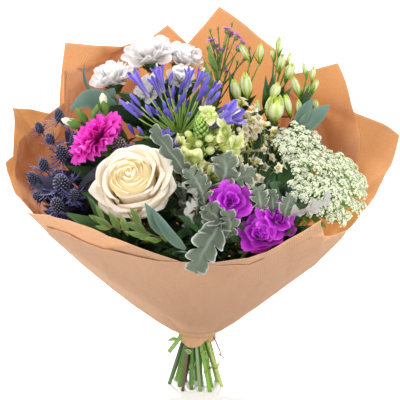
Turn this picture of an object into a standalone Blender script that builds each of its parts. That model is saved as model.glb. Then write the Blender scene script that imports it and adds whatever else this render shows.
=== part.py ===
"""A hand-tied bouquet of mixed flowers that stands on its cut stem ends inside its kraft wrap.

Metres, +Z up.  The origin is the centre of the middle stem's cut end, on the surface that the
stems stand on.
The front of the bouquet faces -Y.
"""
import math

import bpy
import numpy as np
from mathutils import Vector

MM = 0.001
GAP = 0.3                 # clearance between pieces that touch
TIE_HEIGHT = 60.0         # middle of the string that binds the stems
TIE_WIDTH = 3.6
TIE_THICKNESS = 1.0
SPREAD_HEIGHT = 240.0     # height over the tie in which a stem leans out fully
SPREAD_POWER = 1.15       # how much a stem curves outward
WAIST_SHARE = 0.11       # distance from the axis in the tie, as a share of that at the head
FOOT_SPREAD = 2.5         # foot distance from the axis over its distance in the tie
FOOT_TWIST = math.radians(14)
STEM_SIDES = 6
BRANCH_SIDES = 5
SHEET_STEP = 7.5          # degrees between the ribs of a paper sheet
SHEET_LOW_ROWS = (60, 70, 82, 98, 120)   # heights that every sheet shares
SHEET_HIGH_ROWS = (0.12, 0.27, 0.42, 0.6, 0.8, 1.0)   # shares of the way on from there to the rim
SHEET_THICKNESS = 0.7
FRONT_DEPTH = 0.78        # the wrap is shallower than it is wide
WRAP_PROFILE = [          # height and half width of the wrap
    (54, 18.2), (63, 18.5), (70, 28), (82, 43), (92, 55), (107, 72), (126, 92), (142, 108),
    (164, 129), (185, 148), (205, 165), (225, 181), (251, 197), (290, 208), (330, 214),
    (400, 226)]
RIGHT_FLARE = 0.08        # the right flap folds outward by this share of its width
PACKING_TURNS = 400
PACKING_GAP = 0.2         # clearance of the stems in the tie, corner to corner
LEAF_FOOT = 1.0           # width of a leaf where it leaves its stem

GREEN = (0.20, 0.36, 0.10)
DARK_GREEN = (0.08, 0.17, 0.07)
KRAFT = (0.62, 0.42, 0.24)


def clear_scene():
    for old in list(bpy.data.objects):
        bpy.data.objects.remove(old, do_unlink=True)


def material(name, colour, roughness=0.6):
    made = bpy.data.materials.get(name) or bpy.data.materials.new(name)
    made.use_nodes = True
    shader = made.node_tree.nodes["Principled BSDF"]
    shader.inputs["Base Color"].default_value = (*colour, 1)
    shader.inputs["Roughness"].default_value = roughness
    shader.inputs["Metallic"].default_value = 0
    return made


def add_mesh(name, points, faces, colour, roughness=0.6, smooth=True):
    mesh = bpy.data.meshes.new(name)
    mesh.from_pydata([tuple(np.asarray(p) * MM) for p in points], [], faces)
    mesh.update()
    if smooth:
        mesh.shade_smooth()
    made = bpy.data.objects.new(name, mesh)
    bpy.context.scene.collection.objects.link(made)
    mesh.materials.append(material(name, colour, roughness))
    return made


def unit(vector):
    vector = np.asarray(vector, float)
    return vector / np.linalg.norm(vector)


def frame_about(axis):
    """Two unit vectors square to the axis and to each other."""
    axis = unit(axis)
    side = np.cross(axis, (0, 0, 1) if abs(axis[2]) < 0.9 else (1, 0, 0))
    side = unit(side)
    return side, np.cross(axis, side)


def ring_faces(rings, sides, start=0):
    faces = []
    for row in range(rings - 1):
        for k in range(sides):
            a = start + row * sides + k
            b = start + row * sides + (k + 1) % sides
            faces.append((a, b, b + sides, a + sides))
    return faces


def tube(name, path, radii, colour, sides=STEM_SIDES, flat_foot=False):
    """A closed tube along a path; a flat foot is cut level at the path's first point."""
    path = np.asarray(path, float)
    radii = np.broadcast_to(radii, len(path))
    tangents = np.gradient(path, axis=0)
    side, _ = frame_about(tangents[0])
    points = []
    for place, tangent, radius in zip(path, tangents, radii):
        tangent = unit(tangent)
        side = unit(side - tangent * np.dot(side, tangent))
        other = np.cross(tangent, side)
        for k in range(sides):
            angle = 2 * math.pi * k / sides
            points.append(place + radius * (math.cos(angle) * side + math.sin(angle) * other))
    if flat_foot:
        lean = unit(tangents[0])
        for k in range(sides):
            points[k] = points[k] - lean * (points[k][2] - path[0][2]) / lean[2]
    faces = ring_faces(len(path), sides)
    faces.append(tuple(reversed(range(sides))))
    faces.append(tuple(range((len(path) - 1) * sides, len(path) * sides)))
    return add_mesh(name, points, faces, colour)


def turned(name, centre, axis, profile, colour, sides=16, lobes=0, lobe_depth=0.0):
    """A closed turned solid: profile holds (height, radius) from its bottom to its top.

    Lobes swell and pinch each ring, as petals do round a flower head.
    """
    centre = np.asarray(centre, float)
    axis = unit(axis)
    side, other = frame_about(axis)
    points = []
    for row, (height, radius) in enumerate(profile):
        for k in range(sides):
            angle = 2 * math.pi * k / sides
            swell = 1 + lobe_depth * math.cos(lobes * angle + row * math.pi)
            reach = radius * swell
            points.append(centre + axis * height
                          + reach * (math.cos(angle) * side + math.sin(angle) * other))
    rings = len(profile)
    faces = ring_faces(rings, sides)
    faces.append(tuple(reversed(range(sides))))
    faces.append(tuple(range((rings - 1) * sides, rings * sides)))
    return add_mesh(name, points, faces, colour)


def join_solids(main, others):
    """Unites helper solids with the main one, so that the whole is one closed body."""
    for other in others:
        other.hide_render = True
        other.display_type = "WIRE"
        union = main.modifiers.new(other.name, "BOOLEAN")
        union.operation = "UNION"
        union.solver = "EXACT"
        union.object = other
    return main


# ---------------------------------------------------------------- the bundle of stems

class Stem:
    """One stem of the bundle: from its cut foot, through the tie, out to a top point."""

    def __init__(self, name, top, radius, top_radius=None, colour=GREEN):
        self.name = name
        self.top = np.asarray(top, float)
        self.radius = radius
        self.top_radius = top_radius or radius
        self.colour = colour
        self.waist = self.top[:2] * WAIST_SHARE

    def at(self, height):
        """The centre line's place at a height above the tie."""
        share = ((height - TIE_HEIGHT) / SPREAD_HEIGHT) ** SPREAD_POWER
        full = ((self.top[2] - TIE_HEIGHT) / SPREAD_HEIGHT) ** SPREAD_POWER
        flat = self.waist + (self.top[:2] - self.waist) * share / full
        return np.array([flat[0], flat[1], height])

    def side_at(self, height):
        """The centre of the built stem at a height, for what grows from its side."""
        path = self.path()
        return np.array([np.interp(height, path[:, 2], path[:, k]) for k in range(3)])

    def lean(self):
        """The direction in which the stem's top points."""
        return unit(self.top - self.at(self.top[2] - 6))

    def radius_at(self, height):
        share = np.clip((height - TIE_HEIGHT) / (self.top[2] - TIE_HEIGHT), 0, 1)
        return self.radius + (self.top_radius - self.radius) * share

    def foot(self):
        turn = np.array([[math.cos(FOOT_TWIST), -math.sin(FOOT_TWIST)],
                         [math.sin(FOOT_TWIST), math.cos(FOOT_TWIST)]])
        flat = turn @ self.waist * FOOT_SPREAD
        return np.array([flat[0], flat[1], 0.0])

    def path(self, end=None):
        foot = self.foot()
        waist = np.array([*self.waist, TIE_HEIGHT])
        below = [foot + (waist - foot) * share for share in (0, 0.5, 0.9)]
        end = end or self.top[2]
        steps = max(4, int((end - TIE_HEIGHT) / 42))
        above = [self.at(TIE_HEIGHT + (end - TIE_HEIGHT) * k / steps) for k in range(steps + 1)]
        return np.array(below + above)

    def build(self, end=None):
        path = self.path(end)
        return tube(self.name, path, self.radius_at(path[:, 2]), self.colour, flat_foot=True)


def pack_waist(stems, middle):
    """Draws the stems together in the tie, round the middle one, until each just clears."""
    drift = np.mean([stem.waist for stem in stems], axis=0)
    for stem in stems:
        stem.waist = stem.waist - drift
    middle.waist = np.zeros(2)
    for turn in range(PACKING_TURNS):
        pull = 0.985 if turn < PACKING_TURNS - 60 else 1.0
        for stem in stems:
            stem.waist = stem.waist * pull
        for _ in range(6):
            for i, one in enumerate(stems):
                for two in stems[i + 1:]:
                    apart = two.waist - one.waist
                    distance = np.linalg.norm(apart)
                    need = one.radius + two.radius + PACKING_GAP
                    if distance < need:
                        push = apart / distance * (need - distance) / 2
                        one.waist = one.waist - push
                        two.waist = two.waist + push
            middle.waist = np.zeros(2)


# ---------------------------------------------------------------- the wrap

def wrap_point(angle, height, layer, outward=0.0):
    """A point of the wrap: angle in degrees from +X, layer counted from the inside."""
    width = np.interp(height, [p[0] for p in WRAP_PROFILE], [p[1] for p in WRAP_PROFILE])
    a = math.radians(angle)
    flare = np.interp(height, (200, 280), (0, RIGHT_FLARE))
    width *= 1 + flare * max(0.0, math.cos(a - math.radians(10))) ** 2
    spacing = np.interp(height, (60, 110, 220), (1.3, 3.0, 5.0))
    depth = np.interp(height, (60, 95), (1.0, FRONT_DEPTH))
    radius = width + layer * spacing + outward
    return np.array([radius * math.cos(a), (radius - width + width * depth) * math.sin(a), height])


def sheet_heights(bottom, top):
    """The heights of one rib's points, shared as far as can be with the sheets it lies on."""
    low = [bottom, *[max(height, bottom + 3 * (k + 1)) for k, height in enumerate(SHEET_LOW_ROWS)]]
    return [*low, *[low[-1] + (top - low[-1]) * share for share in SHEET_HIGH_ROWS]]


def paper_sheet(name, layer, hem, rim):
    """A thin curved sheet; hem and rim list (angle, height) round its lower and upper edge."""
    angles = np.arange(rim[0][0], rim[-1][0] + 0.1, SHEET_STEP)
    tops = np.interp(angles, [r[0] for r in rim], [r[1] for r in rim])
    turns = angles % 360
    bottoms = np.interp(turns, [h[0] for h in hem], [h[1] for h in hem])
    points = []
    columns = len(angles)
    rows = len(SHEET_LOW_ROWS) + len(SHEET_HIGH_ROWS)
    for outward in (0.0, SHEET_THICKNESS):
        for angle, bottom, top in zip(angles, bottoms, tops):
            points += [wrap_point(angle, height, layer, outward)
                       for height in sheet_heights(bottom, top)]
    stride = rows + 1
    far = columns * stride
    faces = []
    for c in range(columns - 1):
        for r in range(rows):
            a = c * stride + r
            b = a + stride
            faces.append((a, a + 1, b + 1, b))
            faces.append((far + a, far + b, far + b + 1, far + a + 1))
        a, b = c * stride, (c + 1) * stride
        faces.append((a, b, far + b, far + a))
        a, b = a + rows, b + rows
        faces.append((a, far + a, far + b, b))
    for r in range(rows):
        faces.append((r, far + r, far + r + 1, r + 1))
        a = (columns - 1) * stride + r
        faces.append((a, a + 1, far + a + 1, far + a))
    return add_mesh(name, points, faces, KRAFT, 0.75)


def build_wrap():
    neck = [(0, 54), (360, 54)]
    paper_sheet("kraft_sheet_back", 0, neck, [
        (30, 300), (37.5, 314), (45, 350), (52.5, 336), (60, 324), (67.5, 352), (82.5, 400),
        (90, 358), (97.5, 380), (105, 362), (112.5, 352), (135, 330), (157.5, 290)])
    paper_sheet("kraft_sheet_left", 1, neck, [
        (112.5, 332), (120, 346), (135, 367), (142.5, 292), (150, 286), (165, 314), (172.5, 268),
        (187.5, 266), (195, 234), (210, 212), (232.5, 180)])
    paper_sheet("kraft_sheet_right", 1, neck, [
        (-52.5, 138), (-22.5, 168), (-15, 180), (-7.5, 202), (0, 224), (7.5, 268), (15, 292),
        (30, 292), (52.5, 304), (60, 310)])
    paper_sheet("kraft_sheet_front", 2, [(180, 70), (360, 70)], [
        (180, 208), (210, 232), (232.5, 243), (240, 240), (247.5, 233), (262.5, 208), (285, 205),
        (300, 222), (307.5, 240), (315, 222), (322.5, 200), (330, 182)])
    paper_sheet("kraft_sheet_outer", 3, [
        (195, 100), (210, 82), (225, 78), (262.5, 84), (277.5, 106), (315, 127)], [
        (195, 208), (217.5, 221), (225, 215), (247.5, 210), (262.5, 200), (285, 198),
        (300, 208), (315, 200)])


# ---------------------------------------------------------------- leaves

def blade(name, path, widths, up, colour, thickness=0.9, fold=0.15):
    """A thin leaf: a path with a width at each point, its upper face turned to `up`."""
    path = np.asarray(path, float)
    tangents = np.gradient(path, axis=0)
    points = []
    for place, tangent, width in zip(path, tangents, widths):
        across = unit(np.cross(tangent, up))
        normal = unit(np.cross(across, tangent))
        lift = normal * width * fold
        half = across * width / 2
        thick = normal * thickness / 2
        points += [place - half + lift + thick, place + thick, place + half + lift + thick,
                   place + half + lift - thick, place - thick, place - half + lift - thick]
    faces = ring_faces(len(path), 6)
    last = (len(path) - 1) * 6
    faces += [(0, 5, 4, 1), (1, 4, 3, 2), (last, last + 1, last + 4, last + 5),
              (last + 1, last + 2, last + 3, last + 4)]
    return add_mesh(name, points, faces, colour)


def curve_points(knots, steps):
    """Points along a smooth curve through the given knots."""
    knots = [Vector(k) for k in knots]
    padded = [2 * knots[0] - knots[1], *knots, 2 * knots[-1] - knots[-2]]
    made = []
    for i in range(1, len(padded) - 2):
        p0, p1, p2, p3 = padded[i - 1:i + 3]
        for s in range(steps):
            t = s / steps
            made.append(0.5 * ((2 * p1) + (p2 - p0) * t + (2 * p0 - 5 * p1 + 4 * p2 - p3) * t ** 2
                               + (3 * p1 - p0 - 3 * p2 + p3) * t ** 3))
    made.append(knots[-1])
    return np.array([tuple(p) for p in made])


def leaf(name, knots, width, colour, up=(0, 0, 1), steps=3):
    path = curve_points(knots, steps)
    share = np.linspace(0, 1, len(path))
    widths = np.maximum(LEAF_FOOT, width * np.sin(np.pi * share ** 1.15) ** 0.9)
    return blade(name, path, widths, up, colour)


# ---------------------------------------------------------------- flower heads

ROSE = [(-30, 5), (-27, 17), (-16, 30), (0, 37), (12, 40), (20, 36), (26, 24), (28, 8)]
CARNATION = [(-26, 4), (-22, 6.5), (-8, 8), (-3, 15), (4, 25), (12, 27), (19, 20), (23, 8)]
DAISY = [(-14, 3), (-12, 7), (-4, 9), (2, 19), (7, 24), (11, 22), (12, 8)]
THISTLE = [(-10, 1.5), (-8, 6), (-2, 6.4), (4, 6), (9, 3.6), (12, 1.2)]
UMBEL = [(-26, 1.6), (-12, 14), (-2, 30), (4, 36), (10, 33), (17, 22), (21, 8)]


def scaled(profile, size, stretch=1.0):
    return [(height * size * stretch, radius * size) for height, radius in profile]


def build_headed(stem, bloom_name, profile, colour, lobes, depth, sides=16, axis=None):
    """A stem and the separate bloom on its end; an axis nods the bloom away from the stem."""
    stem.build()
    axis = stem.lean() if axis is None else unit(axis)
    centre = stem.top + stem.lean() * (GAP + stem.top_radius * 0.45) - axis * profile[0][0]
    return turned(bloom_name, centre, axis, profile, colour, sides, lobes, depth)


def branch(name, start, end, radius, colour, bulge=0.25):
    """A side shoot that leaves the main stem and turns up toward its end."""
    start = np.asarray(start, float)
    end = np.asarray(end, float)
    outward = end - start
    outward[2] = 0
    middle = (start + end) / 2 + outward * bulge * 0.5
    return tube(name, curve_points([start, middle, end], 2), radius, colour, BRANCH_SIDES)


def build_spray(stem, heads, profile, head_colour, branch_radius, fork, lobes=0, depth=0.0,
                sides=6):
    """A branching spray: shoots leave the stem over its top stretch, each with its head."""
    main = stem.build()
    helpers = []
    for k, (place, size) in enumerate(heads):
        place = np.asarray(place, float)
        drop = fork * (0.35 + 0.65 * ((k * 7) % 5) / 4)
        start = stem.side_at(min(stem.top[2], place[2]) - drop)
        shape = scaled(profile, size)
        axis = unit(place - start + np.array([0, 0, 18.0]))
        base = place + axis * (shape[0][0] + 1.2)
        helpers.append(branch(f"{stem.name}_shoot_{k}", start, base, branch_radius, stem.colour))
        helpers.append(turned(f"{stem.name}_head_{k}", place, axis, shape, head_colour, sides,
                              lobes, depth))
    return join_solids(main, helpers)


def build_umbel(stem, hub_drop, florets, colour):
    """An umbel: thin stalks fan out from one hub, each with a trumpet-shaped flower."""
    hub = stem.top + stem.lean() * GAP
    core = turned("agapanthus_umbel", hub, stem.lean(),
                  [(0, 4), (3, 6), (8, 5.4), (12, 3)], GREEN, 10)
    helpers = []
    for k, (direction, length) in enumerate(florets):
        direction = unit(direction)
        start = hub + stem.lean() * hub_drop
        neck = start + direction * length * 0.55
        helpers.append(tube(f"umbel_stalk_{k}", [start, (start + neck) / 2, neck + direction * 2],
                            1.1, GREEN, 5))
        trumpet = [(0, 1.5), (length * 0.2, 3.6), (length * 0.36, 5.2), (length * 0.45, 8.5)]
        helpers.append(turned(f"umbel_flower_{k}", neck, direction, trumpet, colour, 7))
    return join_solids(core, helpers)


# ---------------------------------------------------------------- the stems that meet in the tie

STEMS = {stem.name: stem for stem in [
    Stem("rose_stem", (-57, -55, 246), 2.9, 3.0),
    Stem("pink_carnation_stem", (-90, -2, 273), 2.2, 2.2),
    Stem("purple_carnation_stem_1", (33, -84, 235), 2.2, 2.2),
    Stem("purple_carnation_stem_2", (55, -110, 212), 2.2, 2.2),
    Stem("purple_carnation_stem_3", (84, -84, 216), 2.2, 2.2),
    Stem("chrysanthemum_spray", (-50, 88, 290), 2.6, 2.0),
    Stem("agapanthus_stem", (-18, 20, 286), 3.8, 3.4),
    Stem("snapdragon", (6, -42, 322), 2.7, 1.8),
    Stem("alstroemeria_1", (46, 76, 300), 2.4, 2.2),
    Stem("alstroemeria_2", (82, 72, 296), 2.4, 2.2),
    Stem("alstroemeria_3", (112, 70, 284), 2.4, 2.2),
    Stem("aster_spray", (26, 104, 340), 1.9, 1.4, DARK_GREEN),
    Stem("waxflower_spray_1", (46, 10, 286), 1.9, 1.4),
    Stem("waxflower_spray_2", (68, -22, 262), 1.9, 1.4),
    Stem("ammi_1", (116, -32, 222), 2.4, 1.8),
    Stem("ammi_2", (98, 20, 254), 2.0, 1.6),
    Stem("ammi_3", (146, 18, 214), 2.0, 1.6),
    Stem("eryngium_spray_1", (-128, 26, 262), 2.2, 1.8, DARK_GREEN),
    Stem("eryngium_spray_2", (-132, -26, 226), 2.2, 1.8, DARK_GREEN),
    Stem("eryngium_spray_3", (-74, -26, 276), 1.9, 1.6, DARK_GREEN),
    Stem("dusty_miller_shoot_1", (0, -88, 228), 2.0, 1.8),
    Stem("dusty_miller_shoot_2", (-14, -62, 258), 2.0, 1.8),
    Stem("dusty_miller_shoot_3", (88, -64, 226), 2.0, 1.8),
    Stem("eucalyptus_stem_1", (-82, 52, 282), 2.2, 1.8),
    Stem("eucalyptus_stem_2", (-28, -98, 214), 2.2, 1.8),
    Stem("eucalyptus_stem_3", (128, 40, 256), 2.0, 1.8),
    Stem("pistache_stem", (-74, -96, 204), 1.9, 1.6),
]}


LEAFY_STEMS = ["dusty_miller_shoot_1", "dusty_miller_shoot_2", "dusty_miller_shoot_3",
               "eucalyptus_stem_1", "eucalyptus_stem_2", "eucalyptus_stem_3", "pistache_stem"]


def build_tie():
    edge = TIE_HEIGHT + TIE_WIDTH / 2
    inner = 1.9 * GAP + max(np.linalg.norm(stem.at(edge)[:2]) + stem.radius for stem in STEMS.values())
    outer = inner + TIE_THICKNESS
    sides = 24
    points = []
    for radius, height in ((inner, -1), (outer, -1), (outer, 1), (inner, 1)):
        for k in range(sides):
            angle = 2 * math.pi * k / sides
            points.append((radius * math.cos(angle), radius * math.sin(angle),
                           TIE_HEIGHT + height * TIE_WIDTH / 2))
    faces = ring_faces(4, sides)
    faces += [(3 * sides + k, 3 * sides + (k + 1) % sides, (k + 1) % sides, k)
              for k in range(sides)]
    add_mesh("binding_string", points, faces, (0.55, 0.45, 0.28), 0.9)


def build_carnations_and_rose():
    build_headed(STEMS["rose_stem"], "rose_bloom", ROSE, (0.93, 0.80, 0.55), 5, 0.05,
                 axis=(-0.2, -0.7, 0.65))
    build_headed(STEMS["pink_carnation_stem"], "pink_carnation_bloom", CARNATION,
                 (0.85, 0.04, 0.30), 9, 0.07, axis=(-0.7, -0.25, 0.65))
    leans = [(0.1, -0.55, 0.8), (0.2, -0.75, 0.6), (0.3, -0.55, 0.75)]
    for number, (lean, size) in enumerate(zip(leans, (0.92, 0.8, 0.66)), 1):
        build_headed(STEMS[f"purple_carnation_stem_{number}"], f"purple_carnation_bloom_{number}",
                     scaled(CARNATION, size), (0.52, 0.02, 0.60), 7, 0.06, axis=lean)


def build_chrysanthemums():
    stem = STEMS["chrysanthemum_spray"]
    main = stem.build()
    blooms = [((-97, 100, 339), (-0.5, 0.3, 0.8)), ((-56, 120, 361), (-0.2, 0.3, 0.93)),
              ((-11, 130, 352), (0.1, 0.35, 0.93)), ((-52, 86, 332), (-0.3, -0.3, 0.9)),
              ((-22, 100, 334), (0.1, -0.2, 0.97))]
    shoots = []
    for number, (place, axis) in enumerate(blooms, 1):
        axis = unit(axis)
        shape = scaled(DAISY, 0.6 if number > 3 else 0.95)
        foot = np.array(place) + axis * (shape[0][0] - GAP)
        start = stem.side_at(stem.top[2] - 4 - 9 * number)
        shoots.append(branch(f"chrysanthemum_shoot_{number}", start, foot - axis * 0.4, 1.3, GREEN))
        turned(f"chrysanthemum_bloom_{number}", np.array(place), axis, shape,
               (0.90, 0.91, 0.84), 14, 7, 0.05)
    join_solids(main, shoots)


def build_agapanthus():
    STEMS["agapanthus_stem"].build()
    florets = []
    for count, first, last, height, length in ((7, -40, 250, 0.12, 60), (5, -30, 258, 0.8, 58)):
        for turn in np.radians(np.linspace(first, last, count)):
            florets.append(((math.cos(turn), math.sin(turn) * 0.8, height), length))
    build_umbel(STEMS["agapanthus_stem"], 6, florets, (0.16, 0.14, 0.72))


def build_sprays():
    build_spray(STEMS["snapdragon"], [
        ((-4, -50, 318), 0.85), ((14, -36, 312), 0.85), ((-2, -34, 300), 0.9),
        ((15, -52, 296), 1.0), ((-8, -48, 282), 1.0), ((18, -44, 278), 1.0)],
        [(-9, 3), (-4, 7), (3, 8), (9, 5)], (0.72, 0.78, 0.42), 1.4, 8)
    bud = [(-14, 2), (-8, 6), (2, 7.2), (10, 5), (15, 1.5)]
    build_spray(STEMS["alstroemeria_1"], [
        ((54, 108, 360), 1.0), ((76, 106, 356), 0.8), ((56, 72, 331), 1.0), ((38, 66, 322), 0.8)],
        bud, (0.82, 0.86, 0.70), 1.2, 14)
    build_spray(STEMS["alstroemeria_2"], [
        ((94, 110, 368), 1.0), ((99, 88, 345), 0.9), ((82, 84, 330), 0.8), ((86, 48, 308), 1.5)],
        bud, (0.82, 0.86, 0.70), 1.2, 14)
    build_spray(STEMS["alstroemeria_3"], [
        ((128, 90, 337), 1.0), ((112, 58, 310), 1.0), ((134, 60, 312), 0.9)],
        bud, (0.82, 0.86, 0.70), 1.2, 14)
    build_spray(STEMS["aster_spray"], [
        ((34, 132, 382), 1.0), ((14, 110, 372), 0.8), ((24, 112, 362), 0.7),
        ((50, 128, 378), 0.8), ((56, 122, 360), 0.7)],
        [(-6, 2), (-3, 4), (2, 7), (6, 8), (8, 3)], (0.34, 0.10, 0.55), 0.8, 26)
    bell = [(-5, 1.6), (-2, 4), (2, 6.5), (4, 3)]
    build_spray(STEMS["waxflower_spray_1"], [
        ((51, 30, 318), 1.0), ((38, 8, 308), 1.0), ((58, 14, 310), 1.0), ((66, 0, 300), 1.0),
        ((46, -6, 296), 1.0)], bell, (0.90, 0.88, 0.74), 0.8, 16)
    build_spray(STEMS["waxflower_spray_2"], [
        ((88, 2, 300), 1.0), ((92, -24, 284), 1.0), ((72, -22, 292), 1.0), ((64, -36, 278), 1.0),
        ((86, -46, 272), 1.0), ((48, -34, 284), 1.0)], bell, (0.90, 0.88, 0.74), 0.8, 16)


def build_ammi():
    lace = (0.80, 0.87, 0.72)
    places = [((133, -44, 250), 1.05), ((106, 20, 280), 0.6), ((160, 20, 240), 0.62)]
    for number, (place, size) in enumerate(places, 1):
        stem = STEMS[f"ammi_{number}"]
        main = stem.build()
        shape = scaled(UMBEL, size)
        axis = unit(np.array(place) - stem.at(stem.top[2] - 20))
        centre = stem.top - axis * (shape[0][0] + 1.5)
        dome = turned(f"ammi_dome_{number}", centre, axis, shape, lace, 14, 7, 0.06)
        join_solids(main, [dome])


def build_eryngium():
    build_spray(STEMS["eryngium_spray_1"], [
        ((-153, 50, 301), 0.9), ((-176, 40, 288), 0.8), ((-150, 4, 272), 1.1)],
        THISTLE, (0.30, 0.30, 0.52), 1.2, 22)
    build_spray(STEMS["eryngium_spray_2"], [
        ((-166, 2, 252), 1.0), ((-178, -22, 238), 1.0), ((-144, -50, 258), 1.4),
        ((-140, -72, 238), 1.1)], THISTLE, (0.30, 0.30, 0.52), 1.2, 22)
    build_spray(STEMS["eryngium_spray_3"], [((-82, -32, 294), 1.3)],
                THISTLE, (0.36, 0.32, 0.42), 1.4, 10)


def leaf_on(stem, name, height, knots, width, colour, up=(0, 0, 1)):
    """A leaf whose foot lies against the side of a stem, at a height over the surface."""
    place = stem.side_at(height)
    aim = np.array(knots[0], float) - place
    aim[2] = 0
    foot = place + unit(aim) * (stem.radius_at(height) + GAP + LEAF_FOOT * 0.85)
    leaf(name, [foot, *knots], width, colour, up)


def build_leaves():
    felt = (0.52, 0.60, 0.50)
    glaucous = (0.14, 0.28, 0.24)
    bright = (0.20, 0.42, 0.08)
    for name in LEAFY_STEMS:
        STEMS[name].build()
    one, two, three = (STEMS[f"dusty_miller_shoot_{k}"] for k in (1, 2, 3))
    front = (0, -0.8, 0.6)
    leaf_on(one, "dusty_miller_leaf_1", 214, [(-6, -100, 226), (-6, -128, 240), (-6, -156, 214)],
            22, felt)
    leaf_on(one, "dusty_miller_leaf_2", 206, [(12, -98, 222), (24, -126, 248)], 18, felt, front)
    leaf_on(one, "dusty_miller_leaf_3", 220, [(-2, -104, 250), (-4, -102, 282)], 20, felt, (0, -1, 0.1))
    leaf_on(two, "dusty_miller_leaf_4", 248, [(-26, -56, 280), (-40, -54, 310)], 20, felt, front)
    leaf_on(two, "dusty_miller_leaf_5", 250, [(8, -66, 268), (46, -72, 288)], 18, felt, front)
    leaf_on(three, "dusty_miller_leaf_6", 212, [(104, -84, 226), (134, -108, 232)], 20, felt, front)
    leaf_on(three, "dusty_miller_leaf_7", 216, [(70, -62, 244), (56, -70, 266)], 16, felt,
            (-0.4, -0.8, 0.4))
    east, south, west = (STEMS[f"eucalyptus_stem_{k}"] for k in (3, 2, 1))
    leaf_on(west, "eucalyptus_leaf_1", 274, [(-104, 58, 296), (-138, 68, 318)], 24, glaucous, front)
    leaf_on(south, "eucalyptus_leaf_2", 208, [(-30, -118, 232), (-24, -136, 262)], 24, glaucous,
            (0, -1, 0.2))
    leaf_on(east, "eucalyptus_leaf_3", 250, [(146, 38, 270), (160, 36, 298)], 18, glaucous,
            (0.2, -1, 0.2))
    pistache = STEMS["pistache_stem"]
    leaf_on(pistache, "pistache_leaf_1", 194, [(-92, -104, 212), (-99, -117, 240)], 20, bright,
            front)
    leaf_on(pistache, "pistache_leaf_2", 198, [(-62, -110, 216), (-52, -128, 236)], 18, bright,
            front)


def main():
    clear_scene()
    pack_waist(list(STEMS.values()), STEMS["agapanthus_stem"])
    build_tie()
    build_wrap()
    build_carnations_and_rose()
    build_chrysanthemums()
    build_agapanthus()
    build_sprays()
    build_ammi()
    build_eryngium()
    build_leaves()


main()
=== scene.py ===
"""The looks of a mixed flower bouquet: its petals, leaves, stems and kraft paper wrap.

Lengths are in millimetres until a mesh is made. The front of the bouquet faces -Y.
"""
import math

import bpy
import numpy as np
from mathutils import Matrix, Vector, noise


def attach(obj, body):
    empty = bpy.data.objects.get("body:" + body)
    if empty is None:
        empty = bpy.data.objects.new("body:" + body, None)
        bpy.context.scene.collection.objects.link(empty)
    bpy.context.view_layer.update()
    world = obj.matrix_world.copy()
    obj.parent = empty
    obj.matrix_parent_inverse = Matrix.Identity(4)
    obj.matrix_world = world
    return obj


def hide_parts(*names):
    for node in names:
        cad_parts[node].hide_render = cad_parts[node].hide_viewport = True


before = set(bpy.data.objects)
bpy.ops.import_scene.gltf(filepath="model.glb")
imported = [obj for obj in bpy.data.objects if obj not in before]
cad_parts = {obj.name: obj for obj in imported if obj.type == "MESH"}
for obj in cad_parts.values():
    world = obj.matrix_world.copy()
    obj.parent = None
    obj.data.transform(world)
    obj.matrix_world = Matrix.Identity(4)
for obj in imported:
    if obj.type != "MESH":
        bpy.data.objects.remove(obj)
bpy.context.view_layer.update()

MM = 0.001
UP = np.array([0.0, 0.0, 1.0])
SPIRAL = 137.5  # degrees from one leaf or floret to the next round a stem
FINE_SPIRAL = 137.508
rng = np.random.default_rng(11)


# ---------------------------------------------------------------- vectors and frames

def vec(*numbers):
    return np.array(numbers, float)


def unit(vector):
    vector = np.asarray(vector, float)
    return vector / max(np.linalg.norm(vector), 1e-9)


def basis(axis, roll=0.0):
    """Rows are across, forward and the axis itself: an upright frame about an axis."""
    axis = unit(axis)
    across = np.cross((0, 0, 1) if abs(axis[2]) < 0.95 else (0, 1, 0), axis)
    across = unit(across)
    forward = np.cross(axis, across)
    c, s = math.cos(roll), math.sin(roll)
    return np.array([across * c + forward * s, forward * c - across * s, axis])


def spun(azimuth, rise=0.0):
    """The way out from an upright axis at an azimuth in degrees, climbing by rise."""
    a = math.radians(azimuth)
    return vec(math.cos(a), math.sin(a), rise)


def smooth(low, high, value):
    """0 below low, 1 above high and a soft step between them."""
    t = np.clip((value - low) / (high - low), 0, 1)
    return t * t * (3 - 2 * t)


def ring_centre(node, low, high):
    """The middle of a CAD node's points between two heights, in millimetres."""
    points = np.array([v.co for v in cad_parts[node].data.vertices]) / MM
    level = points[(points[:, 2] >= low) & (points[:, 2] <= high)]
    return level.mean(axis=0)


def curve(knots, steps=6):
    """Points on a smooth curve through the knots."""
    knots = [np.asarray(k, float) for k in knots]
    padded = [2 * knots[0] - knots[1], *knots, 2 * knots[-1] - knots[-2]]
    made = []
    for p0, p1, p2, p3 in zip(padded, padded[1:], padded[2:], padded[3:]):
        for t in np.arange(steps) / steps:
            made.append(0.5 * (2 * p1 + (p2 - p0) * t + (2 * p0 - 5 * p1 + 4 * p2 - p3) * t ** 2
                               + (3 * p1 - p0 - 3 * p2 + p3) * t ** 3))
    made.append(knots[-1])
    return np.array(made)


def along(path, height):
    """The place on a path that climbs, at a height."""
    return vec(*[np.interp(height, path[:, 2], path[:, k]) for k in range(3)])


# ---------------------------------------------------------------- meshes

GRAIN_STEP = 37.0  # keeps the fine veins of one petal apart from those of the next


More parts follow.
